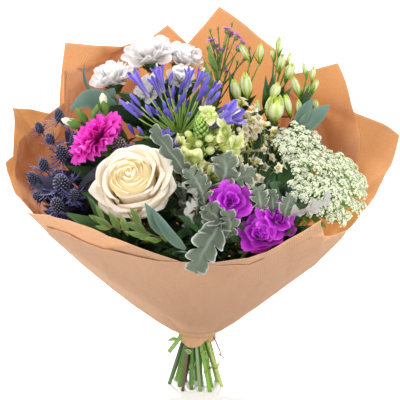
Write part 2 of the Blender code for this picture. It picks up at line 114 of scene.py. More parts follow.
class Soup:
    """The points and faces of one piece, gathered sheet by sheet.

    paint holds at each point: how far along its petal, how near its edge, and a number of its own
    petal's. grain holds the place on the petal in millimetres, across and along, for fine veins.
    """

    def __init__(self):
        self.points, self.paint, self.grain, self.faces = [], [], [], []
        self.total = 0

    def grid(self, points, tone, edge, own, grain=None, closed=False):
        """Adds a sheet of rows and columns; closed joins its last column to its first."""
        rows, columns = points.shape[:2]
        paint = [np.broadcast_to(value, (rows, columns)) for value in (tone, edge, own)]
        index = self.total + np.arange(rows * columns).reshape(rows, columns)
        after = np.roll(index, -1, axis=1)
        if not closed:
            index, after = index[:, :-1], after[:, :-1]
        quads = np.stack([index[:-1], after[:-1], after[1:], index[1:]], axis=-1).reshape(-1, 4)
        self.faces.append(quads)
        self.points.append(points.reshape(-1, 3))
        self.paint.append(np.stack(paint, axis=-1).reshape(-1, 3))
        self.grain.append(np.asarray(points if grain is None else grain).reshape(-1, 3))
        self.total += rows * columns

    def tube(self, path, radii, own=0.0, sides=8, tone=None, ends=True):
        """A round stem along a path, with its ends closed by short cones."""
        path = np.asarray(path, float)
        radii = np.broadcast_to(np.asarray(radii, float), len(path))
        if tone is None:
            tone = np.linspace(0, 1, len(path))
        tone = np.broadcast_to(tone, len(path))
        if ends:
            path = np.concatenate([path[:1], path, path[-1:]])
            radii = np.concatenate([[radii[0] * 0.02], radii, [radii[-1] * 0.02]])
            tone = np.concatenate([tone[:1], tone, tone[-1:]])
        tangents = np.gradient(path, axis=0)
        tangents[0], tangents[-1] = path[2] - path[0], path[-1] - path[-3]
        side = unit(np.cross(tangents[1], (0.31, 0.95, 0.02)))
        turns = 2 * np.pi * np.arange(sides) / sides
        rings = []
        for place, tangent, radius in zip(path, tangents, radii):
            tangent = unit(tangent)
            side = unit(side - tangent * np.dot(side, tangent))
            other = np.cross(tangent, side)
            rings.append(place + radius * (np.cos(turns)[:, None] * side
                                           + np.sin(turns)[:, None] * other))
        self.grid(np.array(rings), tone[:, None], 0.0, own, closed=True)

    def turned(self, place, heights, radii, **look):
        """A round body about a place's axis, from its radius at each height."""
        self.tube([place.out((0, 0, z)) for z in heights], radii, **look)

    def petal(self, shape, place, azimuth, radius, height, rise):
        """Stands a flat-made petal about a place's axis; rise is how many degrees it leans in."""
        origin, forward = place.around(azimuth, radius, height), place.way(azimuth, rise)
        up, own = place.way(azimuth, rise + 90), rng.random()
        points, tone, edge, grain = shape
        forward = unit(forward)
        across = unit(np.cross(forward, up))
        normal = np.cross(across, forward)
        turned = (points[..., :1] * across + points[..., 1:2] * forward
                  + points[..., 2:] * normal) + origin
        self.grid(turned, tone, edge, own, grain + np.array([0, 0, own * GRAIN_STEP]))


def petal_shape(length, width, outline, bends, cup=0.0, ruffle=0.0, waves=3, phase=0.0,
                teeth=0, tooth=0.0, blunt=0.25, size=(9, 9), twist=0.0):
    """A petal lying along +Y: outline gives its width at even steps and bends its slope in radians.

    cup lifts its sides, ruffle waves its outer edge, teeth notch it and twist lifts one side.
    """
    rows, columns = size
    v = np.linspace(0, 1, rows)[:, None]
    u = np.linspace(-1, 1, columns)[None, :]
    half = width / 2 * np.interp(v, np.linspace(0, 1, len(outline)), outline)
    slope = np.interp(v, np.linspace(0, 1, len(bends)), bends)
    step = length / (rows - 1)
    mid_slope = (slope[1:] + slope[:-1]) / 2
    ahead, rise = (np.concatenate([[[0]], np.cumsum(part(mid_slope), axis=0) * step])
                   for part in (np.cos, np.sin))
    notch = tooth * np.abs(((u * teeth + phase) % 1) * 2 - 1) if teeth else 0
    reach = 1 - blunt * np.abs(u) ** 2.8 * v - notch * v ** 3
    lift = (cup * half * u ** 2 + ruffle * v ** 2 * np.sin(u * waves * np.pi + phase)
            + twist * u * half * v)
    x = u * half * np.cos(0.35 * cup * u)
    y = ahead * reach - np.sin(slope) * lift
    z = rise * reach + np.cos(slope) * lift
    points = np.stack([np.broadcast_to(x, (rows, columns)), y, z], axis=-1)
    edge = np.maximum(np.abs(u) ** 3 * smooth(0, 0.25, v), smooth(0.75, 1, v))
    grain = np.stack([np.broadcast_to(u * half, (rows, columns)),
                      np.broadcast_to(v * length, (rows, columns)), 0 * y], axis=-1)
    return points, np.broadcast_to(v, (rows, columns)), edge, grain


def add_piece(name, soup, material, replaces=None, inside=True):
    """Makes one object of a soup, rides it on the frame and hides the CAD node it stands for.

    inside keeps its points from going through the wrap.
    """
    points = np.concatenate(soup.points)
    if inside:
        points = held_in(points)
    points = points * MM
    faces = np.concatenate(soup.faces)
    mesh = bpy.data.meshes.new(name)
    mesh.vertices.add(len(points))
    mesh.vertices.foreach_set("co", points.astype(np.float32).ravel())
    mesh.loops.add(faces.size)
    mesh.loops.foreach_set("vertex_index", faces.astype(np.int32).ravel())
    mesh.polygons.add(len(faces))
    mesh.polygons.foreach_set("loop_start", np.arange(0, faces.size, 4, dtype=np.int32))
    mesh.update()
    for label, values in (("paint", soup.paint), ("grain", soup.grain)):
        layer = mesh.attributes.new(label, "FLOAT_VECTOR", "POINT")
        layer.data.foreach_set("vector", np.concatenate(values).astype(np.float32).ravel())
    mesh.validate()
    mesh.shade_smooth()
    made = bpy.data.objects.new(name, mesh)
    bpy.context.scene.collection.objects.link(made)
    mesh.materials.append(material)
    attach(made, "root")
    if replaces:
        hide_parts(replaces)


# ---------------------------------------------------------------- materials

class Material:
    """A material being wired: a Principled shader and short helpers for its nodes."""

    def __init__(self, name, roughness=0.5, specular=0.35):
        self.made = bpy.data.materials.new(name)
        self.made.use_nodes = True
        self.tree = self.made.node_tree
        self.shader = self.tree.nodes["Principled BSDF"]
        self.shader.inputs["Roughness"].default_value = roughness
        self.shader.inputs["Specular IOR Level"].default_value = specular
        self.output = self.tree.nodes["Material Output"]

    def add(self, kind, links=(), **values):
        """Adds a node; links feed its inputs and values set its fields or inputs."""
        made = self.tree.nodes.new(kind)
        for field, value in values.items():
            setattr(made, field, value)
        for socket, source in dict(links).items():
            if hasattr(source, "is_output"):
                self.tree.links.new(source, made.inputs[socket])
            else:
                made.inputs[socket].default_value = source
        return made

    def attribute(self, name):
        return self.add("ShaderNodeAttribute", attribute_name=name).outputs["Vector"]

    def split(self, vector):
        return self.add("ShaderNodeSeparateXYZ", {0: vector}).outputs

    def math(self, operation, one, two=0.5, three=0.5, clamp=False):
        return self.add("ShaderNodeMath", {0: one, 1: two, 2: three}, operation=operation,
                        use_clamp=clamp).outputs[0]

    def ramp(self, factor, stops):
        made = self.add("ShaderNodeValToRGB", {0: factor})
        ends = made.color_ramp.elements
        while len(ends) < len(stops):
            ends.new(0.5)
        for end, (place, colour) in zip(ends, stops):
            end.position = place
            end.color = (*colour, 1)
        return made.outputs[0]

    def noise(self, vector, scale, detail=2.0, roughness=0.5):
        return self.add("ShaderNodeTexNoise", {"Vector": vector, "Scale": scale, "Detail": detail,
                                               "Roughness": roughness}).outputs[0]

    def stretch(self, vector, across, along, own=1.0):
        return self.add("ShaderNodeVectorMath", {0: vector, 1: (across, along, own)},
                        operation="MULTIPLY").outputs[0]

    def mix(self, factor, one, two, blend="MIX"):
        one, two = (c if hasattr(c, "is_output") else (*c, 1) for c in (one, two))
        return self.add("ShaderNodeMix", {0: factor, 6: one, 7: two}, data_type="RGBA",
                        blend_type=blend).outputs[2]

    def bump(self, height, distance, strength=1.0):
        made = self.add("ShaderNodeBump", {"Height": height, "Distance": distance * MM,
                                           "Strength": strength})
        self.tree.links.new(made.outputs[0], self.shader.inputs["Normal"])

    def colour(self, source):
        self.tree.links.new(source, self.shader.inputs["Base Color"])

    def glow_through(self, share, source):
        """Lets part of the light through, coloured by source, as thin petals and paper do."""
        behind = self.add("ShaderNodeBsdfTranslucent", {0: source}).outputs[0]
        both = self.add("ShaderNodeMixShader", {0: share, 1: self.shader.outputs[0], 2: behind})
        self.tree.links.new(both.outputs[0], self.output.inputs[0])


def petal_material(name, stops, rim=None, rim_share=0.6, vein=0.12, fine=(9.0, 0.9), through=0.3,
                   roughness=0.55, spread=0.12, bump=0.08, through_tint=(1.0, 1.0, 1.0), rib=None,
                   rib_share=0.7, rib_width=0.35):
    """A petal or leaf: colour from its foot to its tip, an edge tint, veins, and light through it.

    rib colours its middle line, where its own number is small.
    """
    m = Material(name, roughness, 0.3)
    tone, edge, own = m.split(m.attribute("paint"))[:3]
    base = m.ramp(tone, stops)
    if rim:
        base = m.mix(m.math("MULTIPLY", edge, rim_share), base, rim)
    if rib:
        near = m.math("SUBTRACT", 1.0, m.math("DIVIDE", own, rib_width), clamp=True)
        base = m.mix(m.math("MULTIPLY", near, rib_share), base, rib)
    veins = m.noise(m.stretch(m.attribute("grain"), fine[0] / 10, fine[1] / 10), 3.0, 3.0)
    dark = m.math("MULTIPLY_ADD", veins, -2 * vein, 1 + vein)
    shade = m.math("MULTIPLY", dark, m.math("MULTIPLY_ADD", own, -2 * spread, 1 + spread))
    shaded = m.add("ShaderNodeVectorMath", {0: base, "Scale": shade}, operation="SCALE").outputs[0]
    m.colour(shaded)
    m.bump(veins, bump)
    if through:
        m.glow_through(through, m.mix(1.0, shaded, through_tint, "MULTIPLY"))
    return m.made


# ---------------------------------------------------------------- camera, light and floor

CAMERA_TARGET = vec(3.3, 0, 221)
CAMERA_RISE = math.radians(20)
CAMERA_AWAY = 1467
LENS, SENSOR = 120, 36
SKY = 0.53
LIGHTS = (
    # name, kind, power, size, place in metres; each shines towards the foot of the bouquet
    ("sun_behind", "SUN", 4.4, 0.06, (-0.15, 1.3, 1.5)),
    ("window_front", "AREA", 32.0, 1.0, (-1.1, -1.8, 1.4)),
    ("fill_right", "AREA", 18.0, 1.4, (1.6, -1.4, 0.8)))
FLOOR_REACH = 6.0
FLOOR_DROP = 0.0005
FLOOR_GLOW = 0.16


def build_stage():
    scene = bpy.context.scene
    scene.view_settings.view_transform = "Standard"
    back = vec(0, -math.cos(CAMERA_RISE), math.sin(CAMERA_RISE))
    lens = bpy.data.cameras.new("camera")
    lens.lens, lens.sensor_width = LENS, SENSOR
    lens.clip_end = 20
    camera = bpy.data.objects.new("camera", lens)
    camera.location = (CAMERA_TARGET + back * CAMERA_AWAY) * MM
    camera.rotation_euler = (math.pi / 2 - CAMERA_RISE, 0, 0)
    scene.collection.objects.link(camera)
    scene.camera = camera

    world = bpy.data.worlds.new("studio")
    world.use_nodes = True
    nodes, links = world.node_tree.nodes, world.node_tree.links
    soft = nodes["Background"]
    soft.inputs[0].default_value = (0.93, 0.96, 1.0, 1)
    soft.inputs[1].default_value = SKY
    seen = nodes.new("ShaderNodeBackground")
    seen.inputs[0].default_value = (1, 1, 1, 1)
    choice = nodes.new("ShaderNodeMixShader")
    links.new(nodes.new("ShaderNodeLightPath").outputs["Is Camera Ray"], choice.inputs[0])
    links.new(soft.outputs[0], choice.inputs[1])
    links.new(seen.outputs[0], choice.inputs[2])
    links.new(choice.outputs[0], nodes["World Output"].inputs[0])
    scene.world = world
    for name, kind, power, size, place in LIGHTS:
        light = bpy.data.lights.new(name, kind)
        light.energy = power
        if kind == "SUN":
            light.angle = size
        else:
            light.shape, light.size = "DISK", size
        lamp = bpy.data.objects.new(name, light)
        lamp.location = place
        lamp.rotation_euler = Vector(place).to_track_quat("Z", "Y").to_euler()
        scene.collection.objects.link(lamp)

    floor_mesh = bpy.data.meshes.new("floor")
    corners = ((-1, -1), (1, -1), (1, 1), (-1, 1))
    floor_mesh.from_pydata([(x * FLOOR_REACH, y * FLOOR_REACH, 0) for x, y in corners], [],
                           [(0, 1, 2, 3)])
    floor = bpy.data.objects.new("floor", floor_mesh)
    floor.location.z = -FLOOR_DROP
    scene.collection.objects.link(floor)
    table = Material("pale_table", 0.6, 0.2)
    grain = table.noise(table.stretch(table.add("ShaderNodeNewGeometry").outputs["Position"],
                                      1.2, 14.0), 3.0, 4.0)
    table.colour(table.ramp(grain, [(0.3, (0.92, 0.91, 0.9)), (0.7, (0.97, 0.97, 0.97))]))
    table.shader.inputs["Emission Color"].default_value = (1, 1, 1, 1)
    table.shader.inputs["Emission Strength"].default_value = FLOOR_GLOW
    floor_mesh.materials.append(table.made)


build_stage()


# ---------------------------------------------------------------- kraft paper

WRAP_PROFILE = (
    (54, 18.2), (63, 18.5), (70, 28), (82, 43), (92, 55), (107, 72), (126, 92), (142, 108),
    (164, 129), (185, 148), (205, 165), (225, 181), (251, 197), (290, 208), (330, 214), (400, 226))
FRONT_DEPTH = 0.78  # how deep the wrap is to its width
RIGHT_FLARE = 0.08  # how much further the wrap opens at its right
PAPER_THICKNESS = 0.7
SHEETS = {
    # name: layer, hem as (angle, height), rim as (angle, height)
    "kraft_sheet_back": (0, ((26, 54), (160, 54)), ((26, 240), (30, 263), (35, 289), (44, 345),
        (52, 334), (59, 325), (67, 352), (75, 377), (83.5, 399.5), (88, 378), (93, 357), (99, 379),
        (104, 364), (114.5, 352), (121.5, 349), (126, 342), (131, 335), (134.5, 336), (137, 300),
        (150, 284), (160, 278))),
    "kraft_sheet_left": (1, ((108, 54), (216, 54), (250, 50), (278, 53), (304, 60)), ((108, 342),
        (110.5, 352), (122, 360), (131.8, 366), (135, 328), (138, 291), (141, 288), (150, 300),
        (161, 310), (165, 283), (169.5, 262), (184, 268), (192, 262), (196, 240), (204, 216),
        (222, 190), (246, 120), (262, 98), (304, 92))),
    "kraft_sheet_right": (1, ((-54, 60), (-40, 54), (62, 54)), ((-54, 100), (-34, 148), (-21, 187),
        (-14, 204), (-5, 219), (2, 233), (6, 248), (10, 265), (13.5, 282), (24, 286), (36.5, 289),
        (52.5, 301), (62, 308))),
    "kraft_sheet_front": (2, ((180, 72), (332, 72)), ((180, 200), (200, 226), (220, 243),
        (233, 248), (240, 244), (247, 236), (256, 222), (265, 208), (276, 200), (288, 198),
        (300, 212), (309, 226), (316, 220), (324, 221), (330, 203), (332, 180))),
    "kraft_sheet_outer": (2.1,
        ((192, 104), (205, 88), (225, 78), (264, 76), (292, 82), (306, 108), (318, 130)),
        ((192, 184), (204, 204), (214, 222), (222, 226), (229, 223), (237, 219), (243, 218),
        (249, 214), (258, 208), (265, 208), (276, 206), (287, 208), (298, 226), (306.5, 249),
        (307.5, 241), (311.5, 226), (318, 204))),
}
FOLDS = {
    # name: layer, hem and rim of a strip that is folded back against the inside of a sheet
    "paper_fold_back": (-0.18, ((91.5, 347), (99, 378)), ((91.5, 352), (93, 357), (99, 378.6))),
    "paper_fold_left": (0.5, ((158, 150), (206, 150)), ((158, 278), (163, 274), (168, 258),
        (174, 250), (182, 246), (190, 234), (198, 216), (206, 196))),
}
ROWS = 72
DEGREES = 1.25  # between the columns of a sheet
DOUBLED_AT_NECK = 0.45
HELD_IN = 6.0


def paper_wave(angle, height):
    """How far the wrap's folds push out or in, the same for each layer."""
    a = np.radians(angle)
    low = smooth(150, 70, height)
    pleats = np.abs(np.sin(a * 6.5 + 0.9 * np.sin(a * 3) + height * 0.006)) ** 0.6 - 0.7
    broad = np.sin(a * 3 + 1.1) * 2.4 + np.sin(a * 5 + height * 0.013 + 2.0) * 1.5
    ridge = 1 - np.abs(np.sin(a * 3.5 - height * 0.014 + 0.9))
    dent = 1 - np.abs(np.sin(a * 2.5 + height * 0.011 + 0.2))
    collar = (np.abs(np.sin(a * 8 + height * 0.11)) ** 0.7 * 1.1
              + np.abs(np.sin(a * 5 - height * 0.2 + 1)) * 0.7) * smooth(76, 66, height)
    return (pleats * 4.2 * low * smooth(62, 90, height) + collar + broad * smooth(80, 180, height)
            + (ridge ** 6 * 3.4 - dent ** 8 * 3.0) * smooth(105, 190, height))


def wrap_point(angle, height, layer, outward):
    """A place on the wrap: which layer of paper it is in, and how far it is pushed out."""
    a = np.radians(angle)
    heights, widths = zip(*WRAP_PROFILE)
    width = np.interp(height, heights, widths)
    flare = np.maximum(0, np.cos(a - math.radians(10))) ** 2
    width = width * (1 + np.interp(height, (200, 280), (0, RIGHT_FLARE)) * flare)
    spacing = np.interp(height, (60, 110, 220), (1.3, 3.0, 5.0))
    depth = np.interp(height, (60, 95), (1, FRONT_DEPTH))
    radius = width + layer * spacing + PAPER_THICKNESS / 2 + outward
    return np.stack([radius * np.cos(a), (radius - width + width * depth) * np.sin(a),
                     height + 0 * a], axis=-1)


def paper_material():
    """Ribbed kraft paper with specks and edges paled by wear, and painted light and shade set by
    how many sheets overlap; less light passes where it is doubled.
    """
    m = Material("kraft_paper", 0.7, 0.25)
    grain = m.attribute("grain")
    _, edge, own = m.split(m.attribute("paint"))[:3]
    ribs = m.add("ShaderNodeTexWave", {"Vector": m.stretch(grain, 1.0, 0.03), "Scale": 0.14,
                                       "Distortion": 1.0, "Detail": 2.0, "Detail Scale": 2.0},
                 bands_direction="X").outputs["Fac"]
    fibre = m.noise(m.stretch(grain, 1.2, 0.3), 1.0, 5.0, 0.65)
    speck = m.noise(m.stretch(grain, 0.5, 0.5), 2.2, 3.0, 0.8)
    cloud = m.noise(m.stretch(grain, 0.016, 0.012), 1.0, 3.0)
    plain = m.ramp(fibre, [(0.25, (0.66, 0.37, 0.215)), (0.5, (0.81, 0.48, 0.28)),
                           (0.78, (0.94, 0.585, 0.355))])
    ribbed = m.mix(m.math("MULTIPLY", ribs, 0.42), plain, (0.54, 0.27, 0.145))
    specked = m.mix(m.math("GREATER_THAN", speck, 0.72), ribbed, (0.57, 0.285, 0.155))
    clouded = m.mix(m.math("MULTIPLY", cloud, 0.35), specked, (0.98, 0.64, 0.42))
    worn_and_painted_shade = m.mix(m.math("MULTIPLY", edge, 0.4), clouded, (0.98, 0.80, 0.58))
    # Painted light and shade: lit dims the paper to 0.70 where no other sheet covers it, and to
    # 0.66 on the outer sheets and under two sheets. Where one sheet covers it, lit keeps it bright
    # and a little greener. It tints the light through the paper too.
    lit = m.ramp(own, [(0.1, (0.70, 0.70, 0.70)), (0.35, (0.93, 1.0, 0.93)),
                       (0.55, (0.93, 1.0, 0.93)), (0.68, (0.66, 0.66, 0.66))])
    worn_and_painted_shade = m.mix(1.0, worn_and_painted_shade, lit, "MULTIPLY")
    m.colour(worn_and_painted_shade)
    crumple = m.noise(m.stretch(grain, 0.05, 0.04), 1.0, 6.0, 0.55)
    height = m.math("ADD", m.math("MULTIPLY", crumple, 6.0), m.math("MULTIPLY", ribs, 0.22))
    m.bump(m.math("ADD", height, m.math("MULTIPLY", fibre, 0.16)), 1.0, 0.5)
    m.glow_through(m.math("MULTIPLY_ADD", own, -0.40, 0.60),
                   m.mix(1.0, worn_and_painted_shade, (1.0, 0.67, 0.33), "MULTIPLY"))
    return m.made


def covered(name, angle, height):
    """How many of the other sheets lie against this one at each place, up to two, as 0 to 1."""
    count = np.zeros_like(height)
    for other, (_, hem, rim) in SHEETS.items():
        if other != name:
            first, last = rim[0][0], rim[-1][0]
            turned = (angle - first) % 360 + first
            below = smooth(0, 16, np.interp(turned, *zip(*rim)) - height)
            above = smooth(0, 8, height - np.interp(turned, *zip(*hem)))
            within = smooth(0, 5, last - turned) * smooth(0, 5, turned - first)
            count += below * above * within
    return np.clip(count / 2, 0, 1)


def rough(angle, height, across, up, shift, depth):
    """Soft noise at each point of a sheet."""
    return np.array([[noise.noise(Vector((a * across + shift, h * up, depth)))
                      for a, h in zip(*row)] for row in zip(angle, height)])


def paper_sheet(name, layer, hem, rim, material, node=None):
    """A sheet or fold of the wrap between its hem and its rim; node is the CAD node of a sheet."""
    angles = {float(angle) for angle, _ in (*hem, *rim)}
    first, last = min(angles), max(angles)
    even = [a for a in np.arange(first, last, DEGREES) if min(abs(a - b) for b in angles) > 0.3]
    columns = np.array(sorted(angles | set(even)))
    low = np.interp(columns, *zip(*hem))
    high = np.interp(columns, *zip(*rim))
    share = (np.linspace(0, 1, ROWS) ** 0.9)[:, None]
    height = low + (high - low) * share
    angle = np.broadcast_to(columns, height.shape)
    crease = rough(angle, height, 0.06, 0.012, layer * 9, 3.0)
    fine = rough(angle, height, 0.2, 0.045, 0.0, layer * 7.0)
    ridged = ((0.5 - np.abs(crease)) * 2.4 + (0.5 - np.abs(fine)) * 0.9) * smooth(90, 180, height)
    from_rim = high - height
    curl = 1.6 * np.exp(-from_rim / 8) * smooth(150, 220, height)
    free = smooth(240, 340, height) * (5 * np.sin(np.radians(angle) * 7 + layer * 2)
                                       + 3 * np.sin(np.radians(angle) * 15 + height * 0.03))
    free = free - 7 * np.exp(-((angle - 161) / 10) ** 2) * smooth(255, 300, height)
    outward = np.maximum(paper_wave(angle, height) + ridged + curl + free, -0.04 * (height - 52))
    points = wrap_point(angle, height, layer, outward)
    grain = np.stack([np.radians(angle) * 150 + height * 0.55, height,
                      np.full_like(height, layer * 40.0)], axis=-1)
    edge = smooth(2.0, 0.0, from_rim)
    soup = Soup()
    # doubled is how far other sheets cover this one. The paper material paints light and shade from
    # it and lets less light through where it is high. The outer sheets count as at least 0.7 and
    # the neck as DOUBLED_AT_NECK.
    doubled = covered(node, angle, height) if node else 0.5
    if layer > 1:
        doubled = np.maximum(doubled, 0.7)
    doubled = np.where(height < 74, DOUBLED_AT_NECK, doubled)
    soup.grid(points, share, edge, doubled, grain)
    add_piece(name, soup, material, node, inside=False)


def rim_height(angle):
    """How high the wrap stands at an angle in degrees, by whichever sheet is tallest there."""
    tallest = np.zeros_like(angle)
    for _, _, rim in SHEETS.values():
        angles, heights = zip(*rim)
        turned = (angle - angles[0]) % 360 + angles[0]
        tallest = np.maximum(tallest, np.where(turned <= angles[-1],
                                               np.interp(turned, angles, heights), 0))
    return tallest


def held_in(points):
    """Presses points that would go through the wrap back in; over its rim they may lean out."""
    x, y, z = points.T
    heights, widths = zip(*WRAP_PROFILE)
    far = np.hypot(x, y / FRONT_DEPTH)
    over = np.maximum(0, z - rim_height(np.degrees(np.arctan2(y / FRONT_DEPTH, x))))
    limit = np.interp(z, heights, widths) - HELD_IN + 1.5 * over
    share = np.where((far > limit) & (z > 95), limit / np.maximum(far, 1e-6), 1.0)
    return np.stack([x * share, y * share, z], axis=-1)


def build_paper():
    material = paper_material()
    for node, (layer, hem, rim) in SHEETS.items():
        paper_sheet(node.replace("kraft_sheet", "paper"), layer, hem, rim, material, node)
    for name, (layer, hem, rim) in FOLDS.items():
        paper_sheet(name, layer, hem, rim, material)


build_paper()


# ---------------------------------------------------------------- stems

TIE_HEIGHT = 60
SPREAD_HEIGHT = 240
SPREAD_POWER = 1.15
JOINT_SWELL = 0.16
STEMS = {
    # node: top, radius at the tie, radius at the top, kind of green
    "rose_stem": ((-57, -55, 246), 2.9, 3.0, "deep"),
    "pink_carnation_stem": ((-90, -2, 273), 2.2, 2.2, "fresh"),
    "purple_carnation_stem_1": ((33, -84, 235), 2.2, 2.2, "fresh"),
    "purple_carnation_stem_2": ((55, -110, 212), 2.2, 2.2, "fresh"),
    "purple_carnation_stem_3": ((84, -84, 216), 2.2, 2.2, "lime"),
    "chrysanthemum_spray": ((-50, 88, 290), 2.6, 2.0, "deep"),
    "agapanthus_stem": ((-18, 20, 286), 3.8, 3.4, "fresh"),
    "snapdragon": ((6, -42, 322), 2.7, 1.8, "lime"),
    "alstroemeria_1": ((46, 76, 300), 2.4, 2.2, "fresh"),
    "alstroemeria_2": ((82, 72, 296), 2.4, 2.2, "fresh"),
    "alstroemeria_3": ((112, 70, 284), 2.4, 2.2, "lime"),
    "aster_spray": ((26, 104, 340), 1.9, 1.4, "dark"),
    "waxflower_spray_1": ((46, 10, 286), 1.9, 1.4, "brown"),
    "waxflower_spray_2": ((68, -22, 262), 1.9, 1.4, "brown"),
    "ammi_1": ((116, -32, 222), 2.4, 1.8, "lime"),
    "ammi_2": ((98, 20, 254), 2.0, 1.6, "lime"),
    "ammi_3": ((146, 18, 214), 2.0, 1.6, "lime"),
    "eryngium_spray_1": ((-128, 26, 262), 2.2, 1.8, "dark"),
    "eryngium_spray_2": ((-132, -26, 226), 2.2, 1.8, "dark"),
    "eryngium_spray_3": ((-74, -26, 276), 1.9, 1.6, "brown"),
    "dusty_miller_shoot_1": ((0, -88, 228), 2.0, 1.8, "felt"),
    "dusty_miller_shoot_2": ((-14, -62, 258), 2.0, 1.8, "felt"),
    "dusty_miller_shoot_3": ((88, -64, 226), 2.0, 1.8, "felt"),
    "eucalyptus_stem_1": ((-82, 52, 282), 2.2, 1.8, "deep"),
    "eucalyptus_stem_2": ((-28, -98, 214), 2.2, 1.8, "deep"),
    "eucalyptus_stem_3": ((128, 40, 256), 2.0, 1.8, "deep"),
    "pistache_stem": ((-74, -96, 204), 1.9, 1.6, "brown"),
}
GREENS = {
    "deep": ((0.13, 0.26, 0.04), (0.05, 0.13, 0.03), (0.14, 0.25, 0.06)),
    "fresh": ((0.26, 0.45, 0.05), (0.14, 0.3, 0.05), (0.26, 0.42, 0.12)),
    "lime": ((0.5, 0.56, 0.18), (0.28, 0.42, 0.09), (0.36, 0.5, 0.15)),
    "dark": ((0.1, 0.2, 0.04), (0.05, 0.1, 0.04), (0.09, 0.1, 0.13)),
    "brown": ((0.12, 0.07, 0.045), (0.13, 0.1, 0.04), (0.13, 0.19, 0.05)),
    "felt": ((0.24, 0.36, 0.14), (0.26, 0.34, 0.2), (0.5, 0.56, 0.46)),
}


def stem_material(name, colours, roughness):
    """A stem from its foot to its top, brown at its joints and pale at its cut end."""
    m = Material("stem_" + name, roughness, 0.4)
    tone, edge, own = m.split(m.attribute("paint"))[:3]
    base = m.ramp(tone, [(0.02, colours[0]), (0.30, colours[1]), (1.0, colours[2])])
    base = m.mix(m.math("GREATER_THAN", own, 0.985), base, (0.22, 0.10, 0.03))
    streak = m.noise(m.stretch(m.attribute("grain"), 1.0, 1.0, 0.09), 0.9, 3.0)
    shaded = m.mix(m.math("MULTIPLY", streak, 0.45), base, tuple(c * 0.45 for c in colours[1]))
    m.colour(m.mix(edge, shaded, (0.62, 0.66, 0.32)))
    m.bump(streak, 0.25)
    return m.made


STEM_LOOKS = {name: stem_material(name, colours, 0.85 if name == "felt" else 0.45)
              for name, colours in GREENS.items()}


def stem_path(node):
    """Points up the middle of a stem from its cut end to its top, the way the part has it."""
    foot = ring_centre(node, -1, 1)
    waist = ring_centre(node, TIE_HEIGHT - 0.5, TIE_HEIGHT + 0.5)
    top = vec(*STEMS[node][0])
    low = [foot + (waist - foot) * t for t in np.linspace(0, 1, 13)[:-1]]
    high = []
    for height in np.linspace(TIE_HEIGHT, top[2], 34):
        reach = ((height - TIE_HEIGHT) / SPREAD_HEIGHT) ** SPREAD_POWER
        full = ((top[2] - TIE_HEIGHT) / SPREAD_HEIGHT) ** SPREAD_POWER
        flat = waist[:2] + (top[:2] - waist[:2]) * reach / full
        high.append(vec(*flat, height))
    return np.array(low + high)


def add_stem(soup, node, joints=()):
    """A stem with swollen joints, a slight waver and a pale cut end."""
    path = stem_path(node)
    _, tie, top, _ = STEMS[node]
    heights = path[:, 2]
    radii = np.interp(heights, (0, TIE_HEIGHT, heights[-1]), (tie * 1.04, tie, top))
    for joint in joints:
        radii = radii * (1 + JOINT_SWELL * np.exp(-((heights - joint) / 2.6) ** 2))
    soup.tube(path, radii, own=0.9 * rng.random(), sides=10)
    ring = np.array([vec(math.cos(a), math.sin(a), 0) for a in np.linspace(0, 2 * np.pi, 11)])
    cut_end = np.array([path[0] + UP * 0.02 + r * tie * ring for r in (0.05, 1.0)])
    soup.grid(cut_end, 0.0, 1.0, 0.5)
    for joint in joints[:2]:
        add_joint(soup, path, joint, tie * (1 + JOINT_SWELL))
    return path


def add_joint(soup, path, height, radius):
    """A thin brown ring where a leaf came off, with what is left of the leaf's foot."""
    place = along(path, height)
    way = unit(path[3] - path[0])
    collar = [place + way * t for t in (-0.5, -0.2, 0.2, 0.5)]
    soup.tube(collar, np.array((0.98, 1.06, 1.06, 0.98)) * radius, own=1.0, sides=12, tone=0.1)
    a = rng.uniform(0, 2 * math.pi)
    out = vec(math.cos(a), math.sin(a), 0)
    knots = [place + out * radius * 0.4 - UP, place + out * (radius + 2) + UP * 2.5,
             place + out * (radius + 5.5) + UP * rng.uniform(3, 7)]
    if height < TIE_HEIGHT - 12:
        soup.tube(curve(knots, 3), np.array((1.0, 1.3, 1.3, 1.1, 0.9, 0.7, 0.3)) * radius * 0.45,
                  own=0.3, sides=7, tone=0.0)


# ---------------------------------------------------------------- the looks of petals and leaves

def rose_material():
    """Cream petals: warm yellow in the heart and at their feet, a faint blush on the outer ones."""
    m = Material("rose_petal", 0.48, 0.3)
    tone, edge, outer = m.split(m.attribute("paint"))[:3]
    heart = m.ramp(tone, [(0.0, (0.94, 0.72, 0.28)), (0.4, (0.97, 0.86, 0.54)),
                          (0.72, (0.98, 0.95, 0.80)), (1.0, (0.99, 0.98, 0.92))])
    guard = m.ramp(tone, [(0.0, (0.80, 0.82, 0.50)), (0.25, (0.94, 0.89, 0.72)),
                          (0.6, (0.97, 0.93, 0.84)), (1.0, (0.98, 0.94, 0.88))])
    base = m.mix(outer, heart, guard)
    veins = m.noise(m.stretch(m.attribute("grain"), 0.5, 0.05), 3.0, 3.0)
    blush = m.noise(m.stretch(m.attribute("grain"), 0.05, 0.04), 2.0, 2.0)
    tinted = m.mix(m.math("MULTIPLY", m.math("MULTIPLY", blush, outer), 0.30), base,
                   (0.97, 0.83, 0.76))
    veined = m.mix(m.math("MULTIPLY", veins, 0.07), tinted, (0.86, 0.74, 0.54))
    m.colour(m.mix(m.math("MULTIPLY", edge, 0.4), veined, (0.99, 0.97, 0.93)))
    m.bump(veins, 0.05)
    m.glow_through(0.42, m.mix(1.0, veined, (1.0, 0.92, 0.72), "MULTIPLY"))
    return m.made


